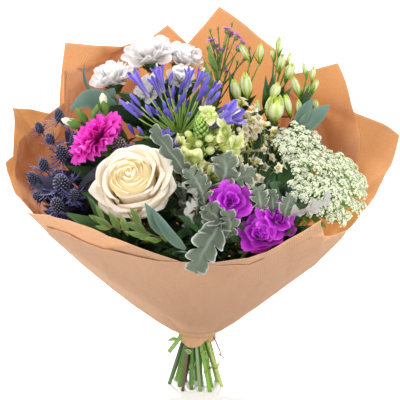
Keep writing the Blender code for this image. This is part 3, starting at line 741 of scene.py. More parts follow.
ROSE = rose_material()
HOT_PINK = petal_material("pink_petal", [(0.0, (0.35, 0.55, 0.12)), (0.2, (0.62, 0.02, 0.36)),
    (0.7, (0.78, 0.012, 0.48)), (1.0, (0.84, 0.035, 0.57))], rim=(0.94, 0.17, 0.7), vein=0.2,
    through=0.3, through_tint=(1.0, 0.4, 1.0))
PURPLE = petal_material("purple_petal", [(0.0, (0.2, 0.008, 0.24)), (0.4, (0.44, 0.012, 0.52)),
    (1.0, (0.64, 0.03, 0.72))], rim=(0.78, 0.14, 0.86), vein=0.2, through=0.28, spread=0.3,
    through_tint=(1.0, 0.55, 1.0))
WHITE = petal_material("white_petal", [(0.0, (0.8, 0.84, 0.5)), (0.18, (0.93, 0.9, 0.87)),
    (1.0, (0.97, 0.95, 0.95))], vein=0.13, through=0.4, spread=0.04, fine=(14, 0.4))
BLUE = petal_material("blue_petal", [(0.0, (0.62, 0.52, 0.66)), (0.18, (0.3, 0.24, 0.66)),
    (0.6, (0.24, 0.18, 0.68)), (1.0, (0.36, 0.3, 0.8))], rim=(0.56, 0.5, 0.9), rim_share=0.55,
    vein=0.25, fine=(16, 0.3), through=0.35, spread=0.0, through_tint=(0.9, 0.8, 1.0),
    rib=(0.07, 0.045, 0.4), rib_share=0.85, rib_width=0.5)
CREAM = petal_material("cream_petal", [(0.0, (0.74, 0.72, 0.22)), (0.35, (0.88, 0.87, 0.58)),
    (1.0, (0.94, 0.93, 0.78))], vein=0.08, through=0.3, through_tint=(0.95, 0.95, 0.6))
LIME = petal_material("lime_petal", [(0.0, (0.48, 0.6, 0.1)), (0.35, (0.76, 0.82, 0.3)),
    (1.0, (0.94, 0.94, 0.62))], vein=0.1, through=0.36, through_tint=(0.95, 0.97, 0.6))
LACE = petal_material("lace_petal", [(0.0, (0.46, 0.6, 0.12)), (0.3, (0.86, 0.89, 0.64)),
    (1.0, (0.98, 0.97, 0.93))], vein=0.04, through=0.25, spread=0.2, through_tint=(0.9, 0.97, 0.75))
ASTER = petal_material("aster_petal", [(0.0, (0.6, 0.34, 0.62)), (0.3, (0.62, 0.16, 0.62)),
    (1.0, (0.82, 0.46, 0.84))], vein=0.15, through=0.35, spread=0.3)
SEED = petal_material("seed_yellow", [(0.0, (0.16, 0.18, 0.02)), (0.5, (0.42, 0.36, 0.05)),
    (1.0, (0.72, 0.6, 0.12))], vein=0.2, through=0.0)
THISTLE = petal_material("thistle", [(0.0, (0.012, 0.014, 0.02)), (0.3, (0.04, 0.045, 0.07)),
    (0.8, (0.14, 0.14, 0.23)), (1.0, (0.3, 0.3, 0.42))], vein=0.2, through=0.0, spread=0.25,
    roughness=0.7)
BRACT = petal_material("thistle_bract", [(0.0, (0.035, 0.035, 0.08)), (0.5, (0.1, 0.09, 0.25)),
    (1.0, (0.24, 0.22, 0.5))], vein=0.25, through=0.1, spread=0.35, roughness=0.5)
# near-black violet leaves: painted shade in the gaps round the eryngium
PAINTED_SHADE_LEAF = petal_material("painted_shade_leaf", [(0.0, (0.03, 0.035, 0.03)), (0.6, (0.03, 0.028, 0.045)),
    (1.0, (0.05, 0.045, 0.09))], vein=0.3, through=0.05, spread=0.4, roughness=0.6)
FELT = petal_material("felt_leaf", [(0.0, (0.2, 0.24, 0.17)), (0.15, (0.105, 0.13, 0.085)),
    (1.0, (0.15, 0.18, 0.13))], rim=(0.8, 0.82, 0.77), rim_share=1.0, vein=0.22, fine=(2.5, 2.5),
    through=0.08, roughness=0.95, bump=0.3, spread=0.25)
FELT_BACK = petal_material("felt_leaf_back", [(0.0, (0.34, 0.36, 0.31)), (0.5, (0.47, 0.46, 0.43)),
    (1.0, (0.4, 0.4, 0.37))], rim=(0.62, 0.62, 0.58), vein=0.14, fine=(2.5, 2.5), through=0.08,
    roughness=0.95, bump=0.3)
WAXY = petal_material("waxy_leaf", [(0.0, (0.12, 0.19, 0.12)), (0.5, (0.085, 0.15, 0.11)),
    (1.0, (0.13, 0.21, 0.17))], rim=(0.2, 0.28, 0.23), vein=0.18, fine=(5, 1.5), through=0.12,
    roughness=0.42, spread=0.25)
OLIVE_LEAF = petal_material("olive_leaf", [(0.0, (0.14, 0.2, 0.04)), (0.5, (0.13, 0.23, 0.05)),
    (1.0, (0.24, 0.34, 0.09))], rim=(0.26, 0.38, 0.13), vein=0.25, fine=(12, 0.6), through=0.28,
    roughness=0.38, spread=0.4, through_tint=(0.9, 1.0, 0.35))
FRESH_LEAF = petal_material("fresh_leaf", [(0.0, (0.2, 0.34, 0.07)), (0.5, (0.14, 0.29, 0.05)),
    (1.0, (0.22, 0.38, 0.08))], rim=(0.3, 0.46, 0.12), vein=0.22, fine=(12, 0.6), through=0.3,
    roughness=0.38, spread=0.25, through_tint=(0.85, 1.0, 0.3))
# near-black green: painted shade on the filling leaves and the stem leaves inside the wrap; also
# the chrysanthemums' green cups
DARK_LEAF = petal_material("dark_leaf", [(0.0, (0.05, 0.11, 0.03)), (0.5, (0.035, 0.085, 0.03)),
    (1.0, (0.06, 0.12, 0.04))], vein=0.25, fine=(10, 0.8), through=0.15, roughness=0.4, spread=0.35,
    through_tint=(0.8, 1.0, 0.3))
SILVER_LEAF = petal_material("silver_leaf", [(0.0, (0.24, 0.31, 0.24)), (0.5, (0.34, 0.41, 0.36)),
    (1.0, (0.42, 0.49, 0.45))], vein=0.12, through=0.15, roughness=0.6, spread=0.2)

# how wide a leaf or petal is at even steps from its foot to its tip
BLADE = (0.10, 0.62, 0.95, 1.0, 0.9, 0.66, 0.36, 0.04)
OVAL = (0.25, 0.85, 1.0, 0.97, 0.82, 0.5, 0.05)
STRAP = (0.7, 0.85, 1.0, 1.0, 0.92, 0.6, 0.08)


def leaf_curve(soup, knots, width, outline=BLADE, facing=UP, cup=0.25, wave=0.0, own=None,
               roll=0.0):
    """A leaf whose middle follows the knots; its sides lift towards where it faces."""
    slim = width < 3
    spine = curve(knots, 3 if slim else 5)
    rows = len(spine)
    own = rng.random() if own is None else own
    tangents = np.gradient(spine, axis=0)
    v = np.linspace(0, 1, rows)
    half = width / 2 * np.interp(v, np.linspace(0, 1, len(outline)), outline)
    u = np.linspace(-1, 1, 3 if slim else 7)
    sheet = []
    for place, tangent, h, share in zip(spine, tangents, half, v):
        tangent = unit(tangent)
        across = unit(np.cross(tangent, facing))
        normal = np.cross(across, tangent)
        turn = roll * share
        across, normal = (across * math.cos(turn) + normal * math.sin(turn),
                          normal * math.cos(turn) - across * math.sin(turn))
        lift = (cup * h * np.abs(u) ** 1.4
                + wave * h * np.sin(share * 9 + own * 6 + u * 1.5) * np.abs(u))
        sheet.append(place + across * (u * h)[:, None] + normal * lift[:, None])
    edge = np.abs(u)[None, :] ** 4 * np.ones((rows, 1))
    length = np.linalg.norm(np.diff(spine, axis=0), axis=1).sum()
    grain = np.stack(np.broadcast_arrays(u[None, :] * half[:, None], (v * length)[:, None],
                                         own * 40), axis=-1)
    soup.grid(np.array(sheet), v[:, None], edge, own, grain)


def lobed_leaf(soup, back, knots, width, facing, lobes):
    """A deeply cut felt leaf with blunt lobes that lean forward; back gathers its underside."""
    spine = curve(knots, 5)
    own = rng.random()
    lengths = np.concatenate([[0], np.cumsum(np.linalg.norm(np.diff(spine, axis=0), axis=1))])
    total = lengths[-1]
    rows = 13 * lobes + 5
    v = np.linspace(0, 1, rows)
    line = np.stack([np.interp(v * total, lengths, spine[:, k]) for k in range(3)], axis=-1)
    tangents = np.gradient(line, axis=0)
    tangents /= np.linalg.norm(tangents, axis=1)[:, None]
    swell = np.sin(np.pi * np.clip(0.14 + 0.74 * v, 0, 1)) ** 0.6
    u = np.sin(np.linspace(-1, 1, 17) * math.pi / 2)
    halves = []  # how wide its left and right sides are at each row
    for side in (0.0, 0.5):
        phase = v * lobes + side + 0.25 * np.sin(own * 30)
        lobe = np.abs(np.cos(np.pi * phase)) ** 0.38
        small = 0.12 * np.abs(np.sin(np.pi * phase * 2.0 + 0.6)) * lobe
        halves.append(width / 2 * swell * (0.10 + 0.84 * lobe + small) * smooth(1.03, 0.95, v)
                      * (0.2 + 0.8 * smooth(0.02, 0.22, v)))
    sheet, under = [], []
    for row in range(rows):
        across = unit(np.cross(tangents[row], facing))
        normal = np.cross(across, tangents[row])
        half = np.where(u < 0, halves[0][row], halves[1][row])
        lift = 0.16 * half * np.abs(u) ** 1.5 + 0.16 * width * np.abs(u) ** 2 * np.sin(
            v[row] * lobes * 4.4 + own * 9 + (u > 0) * 2.0)
        ahead = 0.55 * half * np.abs(u) ** 1.2
        place = (line[row] + across * (u * half)[:, None] + normal * lift[:, None]
                 + tangents[row] * ahead[:, None])
        sheet.append(place)
        under.append(place - normal * 0.6)
    cut = np.abs(u)[None, :] ** 14 * np.ones((rows, 1))
    rib = 0.22 * np.exp(-(u[None, :] / 0.05) ** 2) * smooth(1, 0.5, v)[:, None]
    grain = np.stack(np.broadcast_arrays(u[None, :] * width / 2, (v * total)[:, None], own * 40),
                     axis=-1)
    soup.grid(np.array(sheet), v[:, None], np.maximum(cut, rib), own, grain)
    back.grid(np.array(under), v[:, None], 0.0, own, grain)


# ---------------------------------------------------------------- flower heads

class Place:
    """Where a flower head sits: its foot, and the way it faces. Azimuth 0 is across, 90 is up."""

    def __init__(self, origin, axis, roll=0.0, size=1.0):
        self.origin, self.size = np.asarray(origin, float), size
        self.rows = basis(axis, roll)

    def out(self, local):
        return self.origin + self.size * (np.asarray(local, float) @ self.rows)

    def around(self, azimuth, radius, height):
        """A place at an azimuth in degrees, so far from the axis and so high up it."""
        a = math.radians(azimuth)
        return self.out((radius * math.cos(a), radius * math.sin(a), height))

    def way(self, azimuth, rise):
        """The direction that leans out from the axis: rise is 90 degrees along the axis."""
        a, e = math.radians(azimuth), math.radians(rise)
        return vec(math.cos(e) * math.cos(a), math.cos(e) * math.sin(a), math.sin(e)) @ self.rows


def scaled(shape, size):
    points, tone, edge, grain = shape
    return points * size, tone, edge, grain


def whorl(soup, place, make, count, root, height, rise, start=0.0, loose=4.0):
    """A ring of petals: make() shapes each one, rise is how they lean in, loose how they vary."""
    for azimuth in start + np.arange(count) * 360.0 / count + rng.uniform(-loose, loose, count):
        lean = rise + rng.uniform(-loose, loose)
        soup.petal(scaled(make(), place.size), place, azimuth, root, height, lean)


def sepals(soup, place, azimuths, size, bends, cup, rows, root, height, rise):
    """Pointed green leaflets about a flower's foot: size is their length and width."""
    for azimuth in azimuths:
        shape = petal_shape(*size, BLADE, bends, cup=cup, size=(rows, 5))
        soup.petal(shape, place, azimuth, root, height, rise)


def cup_petal(soup, place, azimuth, spread, middle, side, tuck=1.5, wobble=0.7, size=(18, 15),
              narrow=0.35, own=None, top_width=0.78):
    """A big petal about the axis: its middle and its sides follow their own (radius, height)."""
    rows, columns = size
    v = np.linspace(0, 1, rows)
    u = np.linspace(-1, 1, columns)
    lines = []
    for knots in (middle, side):
        line = curve(knots, 8)
        lines.append(np.array([np.interp(v * (len(line) - 1), np.arange(len(line)), line[:, k])
                               for k in (0, 1)]))
    share = np.abs(u) ** 1.7
    rz = lines[0][:, :, None] * (1 - share) + lines[1][:, :, None] * share
    wide = np.interp(v, (0, 0.15, 0.5, 0.85, 1), (narrow, 0.7, 1, 0.97, top_width))
    angle = np.radians(azimuth + spread * u[None, :] * wide[:, None])
    wave = wobble * v[:, None] ** 2 * np.sin(u[None, :] * 4.0 + rng.uniform(0, 6.3))
    own = rng.random() if own is None else own
    if own == "rib":
        own = 0.12 * rng.random() + 0.88 * np.abs(u)[None, :]
    radius = rz[0] + tuck * u[None, :] + wave
    local = np.stack([radius * np.cos(angle), radius * np.sin(angle), rz[1] + wave * 0.8], axis=-1)
    edge = np.maximum(np.abs(u)[None, :] ** 6, smooth(0.86, 1.0, v)[:, None])
    grain = np.stack(np.broadcast_arrays(radius.mean() * angle, v[:, None] * 50, own * 40), axis=-1)
    soup.grid(place.out(local), v[:, None], edge, own, grain)


ROSE_RINGS = (
    # petals, radius, top, lean out at the top, half spread, first azimuth, how far outer
    (3, 2.2, 26.5, -0.8, 95, 10, 0.0), (3, 4.6, 27.4, -0.8, 88, 62, 0.0),
    (3, 7.4, 27.4, -0.6, 80, 20, 0.05), (4, 10.6, 26.6, -0.2, 60, 70, 0.15),
    (4, 14.2, 24.8, 0.6, 60, 32, 0.3), (4, 18.2, 22.8, 2.0, 58, 64, 0.5),
    (4, 22.8, 19.8, 5.6, 60, 25, 0.8))
ROSE_GUARDS = (
    # azimuth, spread, belly, reach and height of the tip, reach and height of its sides
    (8, 40, 27, 33, 15, 31, 12), (30, 46, 28, 44, 13, 38, 13), (76, 44, 28, 37, 18, 33, 15),
    (118, 44, 28, 35, 18, 32, 14), (160, 42, 28, 39, 14, 34, 10), (203, 38, 28, 43, 9, 35, 4),
    (248, 44, 28, 35, 8, 32, 3), (292, 44, 28, 32, 12, 31, 3), (340, 40, 28, 38, 9, 36, 3),
    (4, 36, 30, 43, 0, 37, -5), (55, 44, 30, 42, 5, 37, 2), (102, 42, 30, 38, 8, 35, 4),
    (180, 40, 30, 41, 1, 36, -4), (226, 38, 30, 41, -2, 35, -8), (270, 42, 30, 34, -4, 33, -10),
    (316, 36, 30, 37, -5, 35, -10))


def build_rose():
    soup = Soup()
    place = Place((-65, -79, 267), (-0.2, -0.62, 0.76))
    reach = [0, *[ring[1] for ring in ROSE_RINGS]]
    tops = [24, *[ring[2] - 5.5 for ring in ROSE_RINGS]]
    r, a = np.linspace(0, 23, 16)[:, None], np.radians(np.arange(0, 360, 12))[None, :]
    heart = place.out(np.stack(np.broadcast_arrays(r * np.cos(a), r * np.sin(a),
                                                   np.interp(r, reach, tops)), axis=-1))
    soup.grid(heart, 0.25, 0.0, 0.0, closed=True)
    for count, radius, top, lean, spread, first, outer in ROSE_RINGS:
        turned = Place(place.origin + rng.uniform(-0.9, 0.9, 3),
                       place.rows[2] + rng.uniform(-0.045, 0.045, 3))
        for azimuth in first + np.arange(count) * 360 / count + rng.uniform(-14, 14, count):
            lift = rng.uniform(-2.4, 2.4)
            cup_petal(soup, turned, azimuth, spread * rng.uniform(0.9, 1.1),
                      [(1.2, -24), (radius * 0.92, -12), (radius * 1.05, 3),
                       (radius * 1.05, top - 6 + lift), (radius + lean * 0.4, top - 1.6 + lift),
                       (radius + lean, top + lift)],
                      [(1.2, -24), (radius * 0.92, -12), (radius * 1.03, 1),
                       (radius * 1.02, top - 11 + lift), (radius + lean * 0.3, top - 7 + lift),
                       (radius + lean * 0.8, top - 6 + lift)],
                      tuck=0.9 + 0.07 * radius, wobble=0.25 + 0.03 * radius, size=(20, 17),
                      own=outer)
    for angle, spread, belly, reach, height, side_reach, side_height in ROSE_GUARDS:
        cup_petal(soup, place, angle, spread,
                  [(3, -29), (belly * 0.88, -20), (belly, -6), ((belly + reach) / 2, height - 1.5),
                   (reach - 1, height + 0.5), (reach + 2.5, height - 0.8)],
                  [(3, -29), (belly * 0.86, -20), (belly, -7), (side_reach - 3, side_height - 2.5),
                   (side_reach, side_height - 1.5), (side_reach + 2, side_height - 2.5)],
                  tuck=1.2, wobble=1.0, size=(24, 21), own=1.0, top_width=0.45)
    add_piece("rose", soup, ROSE, "rose_bloom")
    green = Soup()
    sepals(green, place, np.arange(5) * 72 + 20, (34, 9), (-0.5, -0.7, -0.2, 0.3), 0.3, 9, 6, -27,
           20)
    green.turned(place, (-38, -34, -30, -26), (3.2, 5.2, 6.2, 5.0), sides=12)
    add_piece("rose_sepals", green, FRESH_LEAF)


def frilled(length, width, bends, ruffle):
    """A fan-shaped carnation petal with a ruffled, toothed edge."""
    return petal_shape(length, width, (0.14, 0.2, 0.38, 0.70, 0.95, 1.0, 0.96), bends, cup=0.1,
                       ruffle=ruffle, waves=rng.uniform(2.5, 4.5), phase=rng.uniform(0, 6), teeth=9,
                       tooth=0.09, blunt=0.12, size=(13, 27))


PINK_PLACE = Place((-101, -10, 287), (-0.66, -0.07, 0.74))


def build_pink_carnation():
    soup = Soup()
    place = PINK_PLACE
    for count, length, width, rise, height, bend in (
            (7, 39, 31, 20, 1, (0.6, 0.1, -0.4, -0.7)), (7, 38, 29, 28, 2, (0.5, 0.0, -0.3, -0.6)),
            (6, 35, 28, 38, 2, (0.4, 0, -0.2, -0.5)), (6, 31, 25, 50, 3, (0.3, 0, -0.1, -0.3)),
            (5, 27, 22, 64, 3, (0.2, 0.1, 0.0, -0.1)), (3, 25, 19, 80, 3, (0.1, 0.2, 0.3, 0.2))):
        whorl(soup, place, lambda: frilled(length * rng.uniform(0.9, 1.06), width, bend, 3.4),
              count, 1.5, height, rise, rng.uniform(0, 90), 9)
    add_piece("pink_carnation", soup, HOT_PINK, "pink_carnation_bloom")
    green = Soup()
    green.turned(place, (-22, -18, -8, 0, 5), (3, 6.5, 8.2, 8.4, 7.0), sides=14)
    for azimuth in np.arange(6) * 60:
        sepals(green, place, (azimuth,), (15, 7), (0.2, -0.1, -0.4), 0.5, 7, 7.6, -3, 70)
        sepals(green, place, (azimuth,), (11, 8), (0.4, 0.1, -0.2), 0.5, 7, 3.4, -21, 60)
    add_piece("pink_carnation_cup", green, FRESH_LEAF)


PURPLE_CARNATIONS = (
    # foot of the petals, the way the head faces, size
    ((34, -92, 250), (0.08, -0.8, 0.6), 0.86), ((64, -100, 215), (0.1, -0.66, 0.74), 0.9),
    ((80, -92, 230), (0.3, -0.62, 0.72), 0.84))
PURPLE_RINGS = (
    # the petals' length, width, bends and ruffle; their number, root, height, rise, start and play
    (29, 25, (0.3, -0.1, -0.4, -0.5), 1.3, (6, 2, 0, 30, 18, 7)),
    (24, 21, (0.3, 0.0, -0.2, -0.4), 1.3, (4, 2, 2, 48, 60, 9)),
    (20, 16, (0.3, 0.2, 0.1, -0.3), 1.6, (5, 2, 3, 64, 10, 9)),
    (17, 12, (0.2, 0.3, 0.4, 0.3), 2.0, (5, 1.5, 4, 74, 30, 10)),
    (14, 9, (0.1, 0.3, 0.6, 0.6), 2.2, (4, 1, 5, 84, 0, 12)))


def broad(length, width, bends, ruffle):
    """A broad purple carnation petal with a soft wave."""
    return petal_shape(length, width, (0.2, 0.3, 0.55, 0.82, 0.97, 1.0, 0.9), bends, cup=0.12,
                       ruffle=ruffle, waves=1.3, phase=rng.uniform(0, 6), blunt=0.30,
                       size=(15, 17), teeth=2.2, tooth=0.03)


def build_purple_carnations():
    for order, (origin, axis, size) in enumerate(PURPLE_CARNATIONS, 1):
        soup = Soup()
        place = Place(origin, axis, rng.uniform(0, 1), size)
        for *petal, ring in PURPLE_RINGS:
            whorl(soup, place, lambda: broad(*petal), *ring)
        add_piece(f"purple_carnation_{order}", soup, PURPLE,
                  f"purple_carnation_bloom_{order}")
        green = Soup()
        radii = np.array((2.6, 5, 6.4, 6.6, 5.4)) * size
        green.turned(place, (-20, -16, -7, 0, 4), radii, sides=12)
        add_piece(f"purple_carnation_cup_{order}", green, FRESH_LEAF)


EYE_DOTS = 60
ROUNDED = (0.3, 0.42, 0.6, 0.8, 0.95, 1.0, 0.92, 0.7)
CHRYSANTHEMUMS = (
    # middle of the head, the way it faces, size
    ((-95, 98, 329), (-0.28, -0.12, 0.94), 1.0), ((-53, 118, 350), (-0.14, -0.06, 0.97), 1.14),
    ((-18, 128, 344), (0.18, -0.05, 0.96), 0.98), ((-51, 82, 323), (-0.4, -0.5, 0.78), 0.72),
    ((-19, 94, 332), (0.1, -0.4, 0.9), 0.7))


def ray(length, bends):
    """A rounded white petal, turned a little to one side or the other."""
    return petal_shape(length * rng.uniform(0.88, 1.04), 15.5, ROUNDED, bends, cup=0.4,
                       blunt=0.26, size=(9, 9), twist=rng.choice((-0.75, 0.75)))


def build_chrysanthemums():
    for order, (middle, axis, size) in enumerate(CHRYSANTHEMUMS, 1):
        soup = Soup()
        place = Place(vec(*middle) - unit(axis) * 4 * size, axis, 0.0, size)
        for count, length, rise, height, bends in (
                (10, 28, 10, 0, (0.5, 0.1, 0.1)), (10, 28, 28, 1, (0.5, 0.1, 0.1)),
                (9, 27, 44, 2, (0.4, 0.1, 0.2)), (8, 25, 58, 3, (0.3, 0.1, 0.3)),
                (7, 22, 74, 3.5, (0.2, 0.1, 0.4))):
            whorl(soup, place, lambda: ray(length, bends), count, 3.4, height, rise, 0.0, 7)
        add_piece(f"chrysanthemum_{order}", soup, WHITE,
                  f"chrysanthemum_bloom_{order}")
        seeds = Soup()
        for step in range(EYE_DOTS):
            azimuth, r = step * SPIRAL, 5.2 * math.sqrt(step / EYE_DOTS)
            foot = place.around(azimuth, r, 2)
            tip = place.around(azimuth, r * 1.1, 9.0 - r * 0.4)
            seeds.tube([foot, (foot + tip) / 2, tip], (0.7, 0.7, 0.5), own=rng.random(), sides=5)
        add_piece(f"chrysanthemum_eye_{order}", seeds, SEED)
        green = Soup()
        green.turned(place, (-11, -8, -3, 0), np.array((2.0, 5.6, 8.2, 6.8)) * size, sides=14)
        for ring, z, length in ((0, -8, 8), (1, -6, 9), (2, -3, 9)):
            shape = petal_shape(length, 4.2, BLADE, (0.3, 0.0, -0.3), cup=0.5, size=(5, 5))
            whorl(green, place, lambda: shape, 12, 5.0 + ring * 1.3, z, 42 - ring * 6, ring * 15, 3)
        add_piece(f"chrysanthemum_cup_{order}", green, DARK_LEAF)


build_rose()
build_pink_carnation()
build_purple_carnations()
build_chrysanthemums()


# ---------------------------------------------------------------- sprays of small flowers

def limb(soup, start, end, radius, bow=(0, 0, 0), end_radius=None, sides=6, steps=7):
    """A thin branch from start to end that bows sideways; returns its points."""
    start, end = np.asarray(start, float), np.asarray(end, float)
    t = np.linspace(0, 1, steps)[:, None]
    path = start + (end - start) * t + np.asarray(bow, float) * 4 * t * (1 - t)
    last = radius if end_radius is None else end_radius
    soup.tube(path, np.linspace(radius, last, steps), own=rng.random(), sides=sides)
    return path


def trumpet(soup, foot, mouth, width, flare=0.5, closed=False):
    """A tubular floret: narrow at its foot, with six lobes that open at its mouth."""
    axis = np.asarray(mouth, float) - np.asarray(foot, float)
    length = np.linalg.norm(axis)
    place = Place(foot, axis, rng.uniform(0, 6))
    if closed:
        soup.turned(place, np.array((0, 0.12, 0.35, 0.62, 0.85, 1.0)) * length,
                    np.array((0.16, 0.3, 0.62, 0.8, 0.62, 0.12)) * width / 2, own=rng.random(),
                    sides=9)
        return
    start, mid, end = 0.12 * width, 0.30 * width, 0.5 * width * (0.9 + 0.5 * flare)
    for order in range(6):
        cup_petal(soup, place, order * 60.0, 34 - 4 * (order % 2),
                  [(start, 0), (start * 1.5, length * 0.35), (mid, length * 0.7),
                   (end * 0.9, length * 0.93), (end * (1 + 0.25 * flare), length)],
                  [(start, 0), (start * 1.5, length * 0.35), (mid * 0.98, length * 0.68),
                   (end * 0.8, length * 0.84), (end * 0.86, length * 0.88)],
                  tuck=0.2, wobble=0.12, size=(11, 9), narrow=0.9, own="rib")


def stem_leaves(soup, path, heights, rise, lengths, drop, width, cup, start=0, sizes=None, roll=0):
    """Narrow leaves in a spiral up a stem: lengths are how far their middle and tip reach."""
    for order, height in enumerate(heights):
        root = along(path, height)
        out = spun(order * SPIRAL + start, rise)
        if sizes:
            out = out * rng.uniform(*sizes)
        leaf_curve(soup, [root, root + out * lengths[0], root + out * lengths[1] - UP * drop],
                   width, cup=cup, roll=rng.uniform(-roll, roll) if roll else 0.0)


AGAPANTHUS_HUB = vec(-18, 20, 290)
AGAPANTHUS_FLORETS = (
    # mouth, foot, width, open
    ((-70, 10, 364), (-52, 12, 335), 15, True), ((-44, 45, 361), (-36, 40, 332), 15, True),
    ((-83, -10, 339), (-62, -4, 315), 9, False), ((43, -38, 333), (12, -24, 310), 27, True),
    ((7, 30, 360), (-4, 28, 336), 12, True), ((14, 20, 357), (1, 20, 333), 11, False),
    ((13, 5, 349), (-1, 8, 331), 10, False), ((18, -5, 349), (10, 0, 333), 9, False),
    ((25, -13, 348), (14, -8, 332), 9, False), ((-72, 0, 343), (-60, 4, 326), 9, False),
    ((-55, -10, 333), (-47, -4, 316), 8, False), ((-27, 45, 355), (-31, 40, 340), 8, False),
    ((-9, 40, 356), (-14, 36, 338), 9, False), ((-14, 30, 348), (-20, 28, 333), 8, False),
    ((-25, 25, 345), (-28, 24, 330), 7, False), ((-12, 5, 342), (-22, 8, 322), 10, False),
    ((-36, 5, 333), (-33, 8, 318), 8, False), ((-33, -10, 329), (-26, -4, 312), 9, False),
    ((-73, -25, 316), (-66, -16, 300), 8, False), ((-63, -25, 313), (-56, -16, 299), 8, False),
    ((-21, -46, 304), (-20, -30, 280), 10, True), ((-50, 62, 344), (-40, 50, 324), 12, True),
    ((-8, 66, 352), (-12, 52, 330), 12, True), ((24, 52, 340), (10, 44, 322), 11, True),
    ((38, 34, 322), (22, 30, 312), 10, False), ((-76, 30, 322), (-58, 28, 310), 11, True),
    ((-70, 52, 306), (-54, 44, 302), 10, False), ((-30, 78, 322), (-26, 60, 314), 11, True),
    ((6, 76, 318), (-2, 60, 312), 10, False))


def build_agapanthus():
    green, blue, star = Soup(), Soup(), Soup()
    for mouth, foot, width, is_open in AGAPANTHUS_FLORETS:
        foot, mouth = vec(*foot), vec(*mouth)
        out = foot - AGAPANTHUS_HUB
        limb(green, AGAPANTHUS_HUB + unit(out) * 3, foot, 0.95, (0, 0, -0.07 * np.hypot(*out[:2])),
             0.8)
        trumpet(blue, foot, mouth, width * (1.0 if is_open else 0.72), 0.35, closed=not is_open)
        if is_open:
            way = unit(mouth - foot)
            for _ in range(5):
                lean = unit(way + 0.25 * rng.normal(size=3))
                limb(star, foot + way * 6, mouth + lean * 3.0, 0.3, end_radius=0.55, sides=4,
                     steps=4)
    for azimuth in np.arange(0, 360, 24):
        end = AGAPANTHUS_HUB + spun(azimuth + rng.uniform(-8, 8), rng.uniform(14, 34)) * (26, 22, 1)
        limb(green, AGAPANTHUS_HUB, end, 0.8, (0, 0, -2), 0.7)
        trumpet(blue, end, end + unit(end - AGAPANTHUS_HUB) * rng.uniform(9, 13), 4.4, closed=True)
    face = Place((-32, -34, 306), (-0.1, -0.8, 0.6))
    limb(green, AGAPANTHUS_HUB, (-31, -26, 300), 0.95, (0, 0, -2))
    trumpet(blue, (-31, -26, 300), (-32, -33, 305), 6, flare=0.1)
    star_petal = petal_shape(10, 5.4, OVAL, (0.9, 0.1, -0.3), cup=0.2, size=(8, 5))
    whorl(blue, face, lambda: star_petal, 6, 1.2, -2, 20, 12, 4)
    knob = np.array([AGAPANTHUS_HUB + UP * h for h in (-9, -6, -2, 2, 5)])
    green.tube(knob, (3.6, 4.6, 5.4, 4.6, 2.4), sides=12)
    for side in (-1, 1):
        leaf_curve(green, [AGAPANTHUS_HUB + (side * x, y, z) for x, y, z in
                           ((3, 0, -6), (9, 3, -4), (14, 5, -13))], 5, cup=0.4)
    add_piece("agapanthus_stalks", green, LIME_STEM)
    add_piece("agapanthus_florets", blue, BLUE, "agapanthus_umbel")
    add_piece("agapanthus_threads", star, CREAM)


SNAPDRAGON_FLORETS = (
    # middle of the mouth, facing, size
    ((12, -38, 329), (0.1, -0.35, 0.93), 0.78), ((28, -40, 312), (0.75, -0.5, 0.4), 0.95),
    ((-2, -60, 288), (-0.35, -0.8, -0.3), 1.15), ((36, -44, 293), (0.8, -0.5, -0.1), 1.3),
    ((18, -60, 272), (0.35, -0.85, -0.35), 1.0), ((-14, -48, 298), (-0.85, -0.45, 0.0), 0.85),
    ((14, -24, 306), (0.7, 0.6, 0.3), 1.0), ((-2, -26, 288), (-0.6, 0.7, 0.1), 1.0))
SNAPDRAGON_BUDS = (
    ((13, -54, 309), 4.6), ((2, -57, 304), 4.2), ((14, -58, 297), 4.8), ((-9, -46, 311), 3.8),
    ((20, -42, 304), 4.4), ((6, -32, 312), 4.2))


SPIKE = vec(6, -44, 0)  # where the snapdragon's flower spike stands
SNAPDRAGON_TIP_LEAVES = 56
SNAPDRAGON_LIPS = (
    # azimuth, length, rise
    (60, 14, 55), (120, 14, 55), (90, 12, 70), (210, 11, 25), (270, 12, 15), (330, 11, 25),
    (180, 8, 60), (0, 8, 60))


